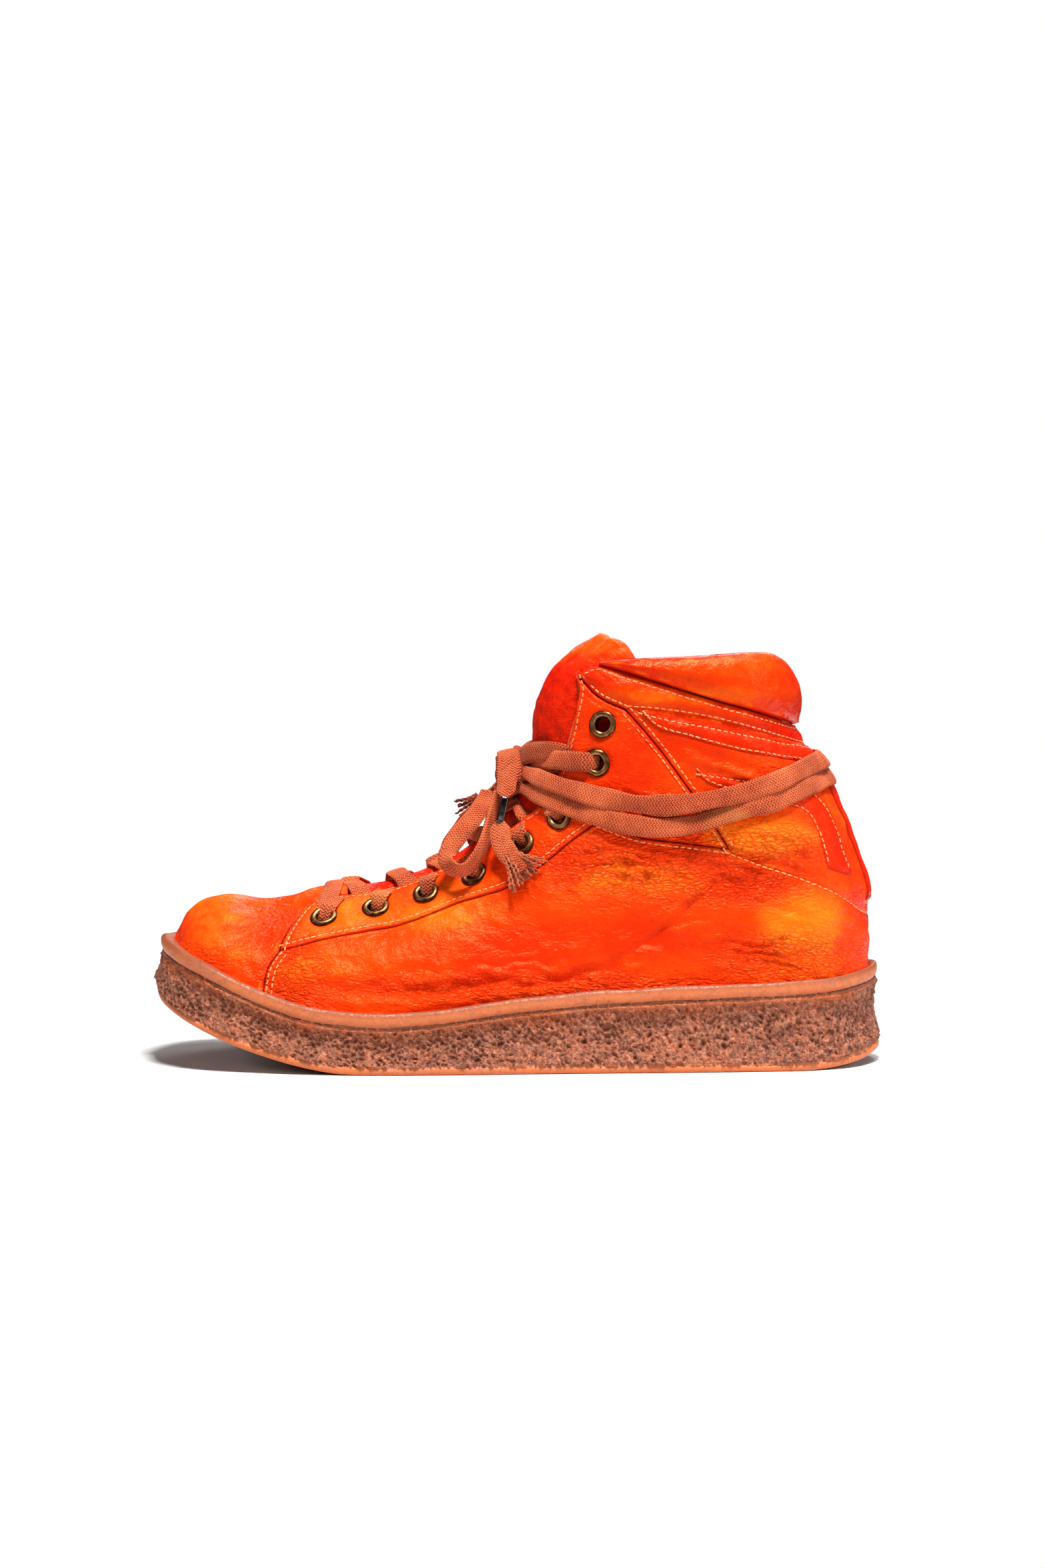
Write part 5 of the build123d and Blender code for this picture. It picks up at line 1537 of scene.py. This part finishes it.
def tongue():
    """The whole tongue as one padded mesh, from under the stays to its free top."""
    columns = 61
    a = np.linspace(-1, 1, columns)
    edge_u, edge_share = locate(*np.array(smooth_line(TONGUE_EDGE, 1.0)).T)
    edge_w = np.arccos(np.clip(1 - 2 * edge_share, -1, 1)) / math.pi
    order = np.argsort(edge_u)
    edge_u, edge_w = edge_u[order], edge_w[order]
    u_top = cross_place(6.9, 127, LATERAL)[0]
    u = np.linspace(edge_u[0] + 0.05, u_top, 110)
    w = np.interp(u, edge_u, edge_w)[:, None] * a[None, :] * 0.94
    here, up = skin_frame(np.broadcast_to(u[:, None], w.shape), w)
    inner = np.interp(u, inner_u, INNER_EDGE)[:, None]
    under = np.clip((np.abs(w) - inner + 0.05) / 0.05, 0, 1)
    bulge = 0.6 * np.cos(math.pi * np.clip(np.abs(w) / inner, 0, 1) / 2)
    lift = -0.9 + bulge - 3.1 * under * under * (3 - 2 * under)
    lower_out = here + up * lift[..., None]
    lower_in = here + up * -8.5
    last = len(TONGUE_SECTIONS) - 1
    v = np.concatenate([
        np.linspace(0.4, last - 0.6, 110)[:-1],
        last - 0.6 + 0.6 * np.sin(np.linspace(0, math.pi / 2, 26)),
    ])
    s = curve(np.column_stack([np.arange(len(TONGUE_SECTIONS)), TONGUE_SECTIONS]), v)
    lean = np.radians(s[:, 2])[:, None] * (1 - 0.62 * a[None, :] ** 2)
    wing = 1 + 0.55 * np.exp(-(((s[:, 1] - 141) / 11) ** 4))[:, None] * a[None, :] ** 2
    turn = a[None, :] * WRAP_ANGLE * (0.35 + 0.65 * s[:, 4])[:, None] * wing
    channel = sum(np.exp(-(((turn - c) / 0.05) ** 2)) for c in TONGUE_CHANNELS)
    pillow = 0.9 * np.sqrt(np.clip(1 - a**2, 0, 1))[None, :] - 0.8 * channel
    high = np.clip((v - 4) / (last - 4), 0, 1)[:, None] ** 1.5
    lobes = np.exp(-(((np.abs(a[None, :]) - 0.72) / 0.2) ** 2)) - 0.9 * np.exp(
        -(((np.abs(a[None, :]) - 0.42) / 0.13) ** 2)
    )
    pillow = pillow + 1.8 * high * lobes
    thickness = s[:, 3][:, None] * np.clip(1.9 * (1 - a**2) ** 0.5, 0.05, 1)[None, :]
    rounded = np.sqrt(1 - np.clip(1 - (last - v) / 0.6, 0, 1) ** 2)[:, None]

    def placed(depth):
        radius = CROWN - depth
        along = CROWN - radius * np.cos(turn)
        x = s[:, 0][:, None] + along * np.cos(lean)
        droop = 7 * np.clip((np.abs(a[None, :]) - 0.7) / 0.3, 0, 1) ** 2
        z = s[:, 1][:, None] - along * np.sin(lean) + high * (1.6 * lobes - droop)
        return np.stack([x, radius * np.sin(turn), z], -1)

    middle = thickness / 2
    depth_out, depth_in = middle - (middle + pillow) * rounded, middle + middle * rounded
    upper_out, upper_in = placed(depth_out), placed(depth_in)
    blend = 14
    t = np.linspace(0, 1, blend + 2)[1:-1, None, None]
    t = t * t * (3 - 2 * t)

    def stacked(lower, upper):
        bridge = lower[-1] * (1 - t) + upper[0] * t
        return np.concatenate([lower, bridge, upper])

    outer, inside = stacked(lower_out, upper_out), stacked(lower_in, upper_in)
    rows = len(outer)
    dents = 0.35 * (DENTS(outer) * 0.6 + PUCKER(outer) * 0.4)
    outer = outer + dents[..., None] * np.array([-1, 0, 0.3])
    ring = np.concatenate([outer, inside[:, ::-1]], axis=1)
    faces = tube_faces(rows, 2 * columns)
    piece = new_mesh("tongue_padding", ring.reshape(-1, 3), faces, TONGUE_SKIN,
                     ("tongue_base", "tongue_flap"), body=None)
    grooves = np.zeros((rows, 2 * columns))
    grooves[-len(v):, :columns] = channel * 0.8
    point_value(piece, "crease", grooves.ravel())
    point_value(piece, "swell", np.full(grooves.size, 0.2))
    point_value(piece, "flex", np.zeros(grooves.size))
    # painted light: the tongue's top above z 160 made paler, with painted shade making the rest
    # deeper
    painted_top_light = np.clip((ring[..., 2] - 160) / 10, 0, 1)
    point_value(piece, "dye_and_painted_light", (painted_top_light - 0.25).ravel())
    edge = np.concatenate([1 - np.abs(a), 1 - np.abs(a)])[None, :] * 20 + 1.0
    point_value(piece, "edge", np.broadcast_to(edge, (rows, 2 * columns)).ravel())
    x, z = HINGE
    low, high = (x * MM, 0, (z - BEND_REACH) * MM), (x * MM, 0, (z + BEND_REACH) * MM)
    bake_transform(piece)


tongue()

# ---------------------------------------------------------------- sole
RIM_OVERHANG, RIM_OVERHANG_HEEL, WALL_FLARE = 5.5, 2.8, 2.2
RIM_PITCH = 4.4  # of the stitches round the rim
SOLE_BOTTOM = [
    (-156, 37.5), (-150, 30.5), (-146, 26), (-140, 22.4), (-130, 17.8), (-120, 13.5),
    (-110, 9.7), (-100, 6.6), (-90, 3.9), (-80, 1.8), (-72, 0.6), (-62, 0), (-40, 0),
    (90, 0), (118, 0), (130, 0.9), (140, 2.4), (147, 4.2), (156, 7.5),
]


def sole_outline(count):
    """The skin at the rim from above, as an evenly spaced closed loop from the toe."""
    xs = [-141, -139.5, -136, -130, -120, -104, -84, -62, -38, -10, 24, 60, 92, 114, 128,
          137, 143, 146.2]
    halves = []
    for side in (LATERAL, MEDIAL):
        u, share = locate(np.array(xs), rim_z(np.array(xs)) - 1)
        y = skin(u, share, side)[:, 1]
        halves.append(np.column_stack([xs, y]))
    loop = np.concatenate([[(-142, 5)], halves[0], [(147.2, 0)], halves[1][::-1], [(-142, 5)]])
    wide = np.concatenate([loop[-4:-1], loop, loop[1:4]])
    along = np.concatenate([[0], np.cumsum(np.linalg.norm(np.diff(wide, axis=0), axis=1))])
    start, end = along[3], along[-4]
    fine = curve(np.column_stack([along, wide]), np.linspace(start, end, 6001))
    return resampled(fine, run_length(fine) / count)[:-1]


CREPE_WORM = waves(31, 3.4, 60)
CREPE_CRUMB = waves(32, 1.7, 60)
CREPE_DENT = waves(33, 11)
RIM_WAVE = waves(34, 26)


def sole():
    """The crepe cup sole: one closed mesh swept round its outline."""
    count = 2 * int(640 * FINE)
    outline = sole_outline(count)
    count = len(outline)
    ahead = np.roll(outline, -1, axis=0) - np.roll(outline, 1, axis=0)
    normal = unit(np.column_stack([ahead[:, 1], -ahead[:, 0]]))
    share = np.clip((outline[:, 0] - 60) / 85, 0, 1)
    over = RIM_OVERHANG + (RIM_OVERHANG_HEEL - RIM_OVERHANG) * share
    flare = WALL_FLARE * (1 - 0.5 * share)
    corner = np.exp(-(((outline[:, 0] + 135) / 9) ** 2))  # the toe box bulges below the rim
    rim = rim_z(outline[:, 0] + normal[:, 0] * 3)
    low_at = outline + normal * (over + flare)[:, None]
    bottom = curve(SOLE_BOTTOM, low_at[:, 0])
    wall_low = bottom + 3.2
    rows = []  # out from the leather, height, share down the crepe wall, depth below the rim

    def row(out, z, wall=0.0, groove=0.0, low=0.0):
        rows.append((out, z, wall, groove, low))

    row(-0.8 + 0 * over, rim - 9.5)
    row(-0.6 + 0 * over, rim - 4)
    row(0.1 + 0 * over, rim - 0.9)
    for drop, inset, groove in (
        (0.35, 0.62, 0), (0.05, 0.45, 0), (0.0, 0.3, 0), (0.35, 0.14, 0), (0.9, 0.05, 0),
        (1.6, 0.0, 0), (2.4, 0, 0), (3.2, 0, 0), (4.0, 0.01, 0), (4.7, 0.05, 0.1),
        (5.3, 0.13, 0.7), (5.8, 0.18, 1.0), (6.3, 0.18, 1.0), (6.8, 0.14, 0.7), (7.4, 0.08, 0.2),
    ):
        out = over * (1 - inset) if drop < 4.5 else over - 5.0 * inset
        row(out, rim - drop, 0.35 if drop > 6.5 else 0.0, groove)
    steps = int(34 * FINE)
    for k in range(1, steps):
        s = k / steps
        concave = (1.5 - 1.1 * corner) * math.sin(math.pi * s**0.8) - 0.35
        push = 1.6 * corner * min(1, 3 * s, 4 * (1 - s))
        out = over - 0.35 * (1 - s) - concave + flare * s**2.5 + push
        row(out, (rim - 7.6) * (1 - s) + wall_low * s, 1.0)
    for up, inset, low in ((3.0, 0.45, 0), (2.6, 0.25, 0), (2.0, 0.05, 0), (1.3, 0, 0.1),
                           (0.9, 0.1, 1.0), (0.5, 0.25, 1.0), (0.15, 0.7, 0.7), (0.0, 1.6, 0.3)):
        row(over + flare - inset, bottom + up, 0.2 if up > 2.8 else 0.0, 0.0, low)
    rings, wall, groove, low, depth = [], [], [], [], []
    for out, z, w, g, b in rows:
        xy = outline + normal * np.broadcast_to(out, (count,))[:, None]
        p = np.column_stack([xy, z])
        worm = 1 - np.abs(CREPE_WORM(p)) * 1.6
        bump = (0.42 * worm + 0.22 * CREPE_CRUMB(p) + 0.3 * CREPE_DENT(p)) * w
        bump += 0.14 * RIM_WAVE(p)
        p[:, :2] += normal * bump[:, None]
        p[:, 2] += 0.15 * RIM_WAVE(p + 40) * (1 if b == 0 else 0)
        rings.append(p)
        wall.append(np.full(count, w))
        groove.append(np.full(count, g))
        low.append(np.full(count, b))
        depth.append(np.clip(rim - z, 0, 40))
    points = np.concatenate(rings)
    values = {"wall": wall, "groove": groove, "low": low, "depth": depth}
    values = {key: list(np.concatenate(v)) for key, v in values.items()}
    values["worm"] = list(np.abs(np.clip(CREPE_WORM(points), -1, 1)) + 1 - np.array(values["wall"]))
    faces = tube_faces(len(rings), count, closed=False)[:-2]
    half = count // 2
    columns = 24
    points = list(points)
    for ring_start, flip in ((0, False), ((len(rings) - 1) * count, True)):
        ring = np.array(points[ring_start:ring_start + count])
        number = np.zeros((half + 1, columns + 1), int)
        for i in range(half + 1):
            left, right = ring_start + i, ring_start + (count - i) % count
            number[i, 0], number[i, -1] = left, right
            if left == right:
                number[i, :] = left
                continue
            for k in range(1, columns):
                s = k / columns
                p = ring[i] * (1 - s) + ring[(count - i) % count] * s
                number[i, k] = len(points)
                points.append(p)
                for key in values:
                    values[key].append(0.3 if key == "wall" else 0.0)
        for i in range(half):
            for k in range(columns):
                face = [number[i, k], number[i + 1, k], number[i + 1, k + 1], number[i, k + 1]]
                face = [v for j, v in enumerate(face) if v != face[j - 1]]
                if len(face) > 2:
                    faces.append(tuple(face[::-1] if flip else face))
    piece = new_mesh("crepe_cupsole", points, faces, CREPE, ("cupsole",))
    for key, v in values.items():
        point_value(piece, key, v)
    stitch_at = outline + normal * (over - 0.75)[:, None]
    line = np.column_stack([stitch_at, rim - 6.05])
    line = np.concatenate([line, line[:1]])
    places = resampled(line, RIM_PITCH)[:-1]
    ahead = np.gradient(places, axis=0)
    up = unit(np.cross(ahead, (0.0, 0.0, 1.0)))
    stitches("rim_stitching", places, ahead, up, 4.1, 0.42, RIM_THREAD)


sole()

# ---------------------------------------------------------------- carried-over pieces
CARRIED = {
    LINING_CLOTH: ["vamp_lining", "quarter_lining", "collar_lining", "facing_liner_lateral",
                   "facing_liner_medial", "ankle_facing_liner_lateral",
                   "ankle_facing_liner_medial",
                   "ankle_padding"],
    FOOTBED_CLOTH: ["footbed"],
    FOAM: ["heel_wedge", "bottom_filler"],
    BOARD: ["insole_board", "toe_puff", "heel_counter"],
    SPRING: ["shank"],
}
for material, nodes in CARRIED.items():
    for node in nodes:
        piece = bpy.data.objects[node]
        for slot in piece.material_slots:
            slot.material = material
        if not piece.material_slots:
            piece.data.materials.append(material)

# ---------------------------------------------------------------- floor and light
bpy.context.scene.view_settings.view_transform = "Standard"
FLOOR_RADIUS = 0.55
floor_mesh = bpy.data.meshes.new("floor")
floor_edge = [
    (FLOOR_RADIUS * math.cos(a), FLOOR_RADIUS * math.sin(a), 0)
    for a in np.linspace(0, 2 * math.pi, 72, endpoint=False)
]
floor_mesh.from_pydata(floor_edge, [], [tuple(range(len(floor_edge)))])
floor = bpy.data.objects.new("floor", floor_mesh)
bpy.context.scene.collection.objects.link(floor)
ground = Finish("pale_floor", Roughness=0.6, Specular_IOR_Level=0.2)
ground.use(Base_Color=ground.ramp(ground.noise(300), (0, (0.7,) * 3), (1, (0.74,) * 3)))
floor_mesh.materials.append(ground.material)

world = bpy.data.worlds.new("studio")
bpy.context.scene.world = world
world.use_nodes = True
sky = world.node_tree
seen, lit = sky.nodes["Background"], sky.nodes.new("ShaderNodeBackground")
seen.inputs["Color"].default_value = (1, 1, 1, 1)
lit.inputs["Color"].default_value = (1, 1, 1, 1)
lit.inputs["Strength"].default_value = 0.06
either = sky.nodes.new("ShaderNodeMixShader")
sky.links.new(sky.nodes.new("ShaderNodeLightPath").outputs["Is Camera Ray"], either.inputs[0])
sky.links.new(lit.outputs[0], either.inputs[1])
sky.links.new(seen.outputs[0], either.inputs[2])
sky.links.new(either.outputs[0], sky.nodes["World Output"].inputs["Surface"])


def softbox(name, place, target, size, power, warmth=(1, 1, 1)):
    data = bpy.data.lights.new(name, "AREA")
    data.shape = "RECTANGLE"
    data.size, data.size_y = size
    data.energy = power
    data.color = warmth
    light = bpy.data.objects.new(name, data)
    light.location = place
    light.rotation_euler = (Vector(target) - Vector(place)).to_track_quat("-Z", "Y").to_euler()
    bpy.context.scene.collection.objects.link(light)


MIDDLE = (0, 0, 0.09)
softbox("key", (0.08, -0.42, 1.35), MIDDLE, (0.32, 0.28), 35)
softbox("top", (0.5, 0.1, 1.2), MIDDLE, (0.6, 0.5), 6)
softbox("fill", (-0.1, -1.4, 0.35), MIDDLE, (0.7, 0.5), 0.4)
softbox("toe", (-1.2, -0.5, 0.7), (-0.1, 0, 0.06), (0.4, 0.4), 3)
softbox("heel", (1.2, -0.6, 0.5), (0.1, 0, 0.08), (0.4, 0.4), 6)
softbox("rear", (0.2, 1.3, 0.9), MIDDLE, (0.8, 0.6), 6)
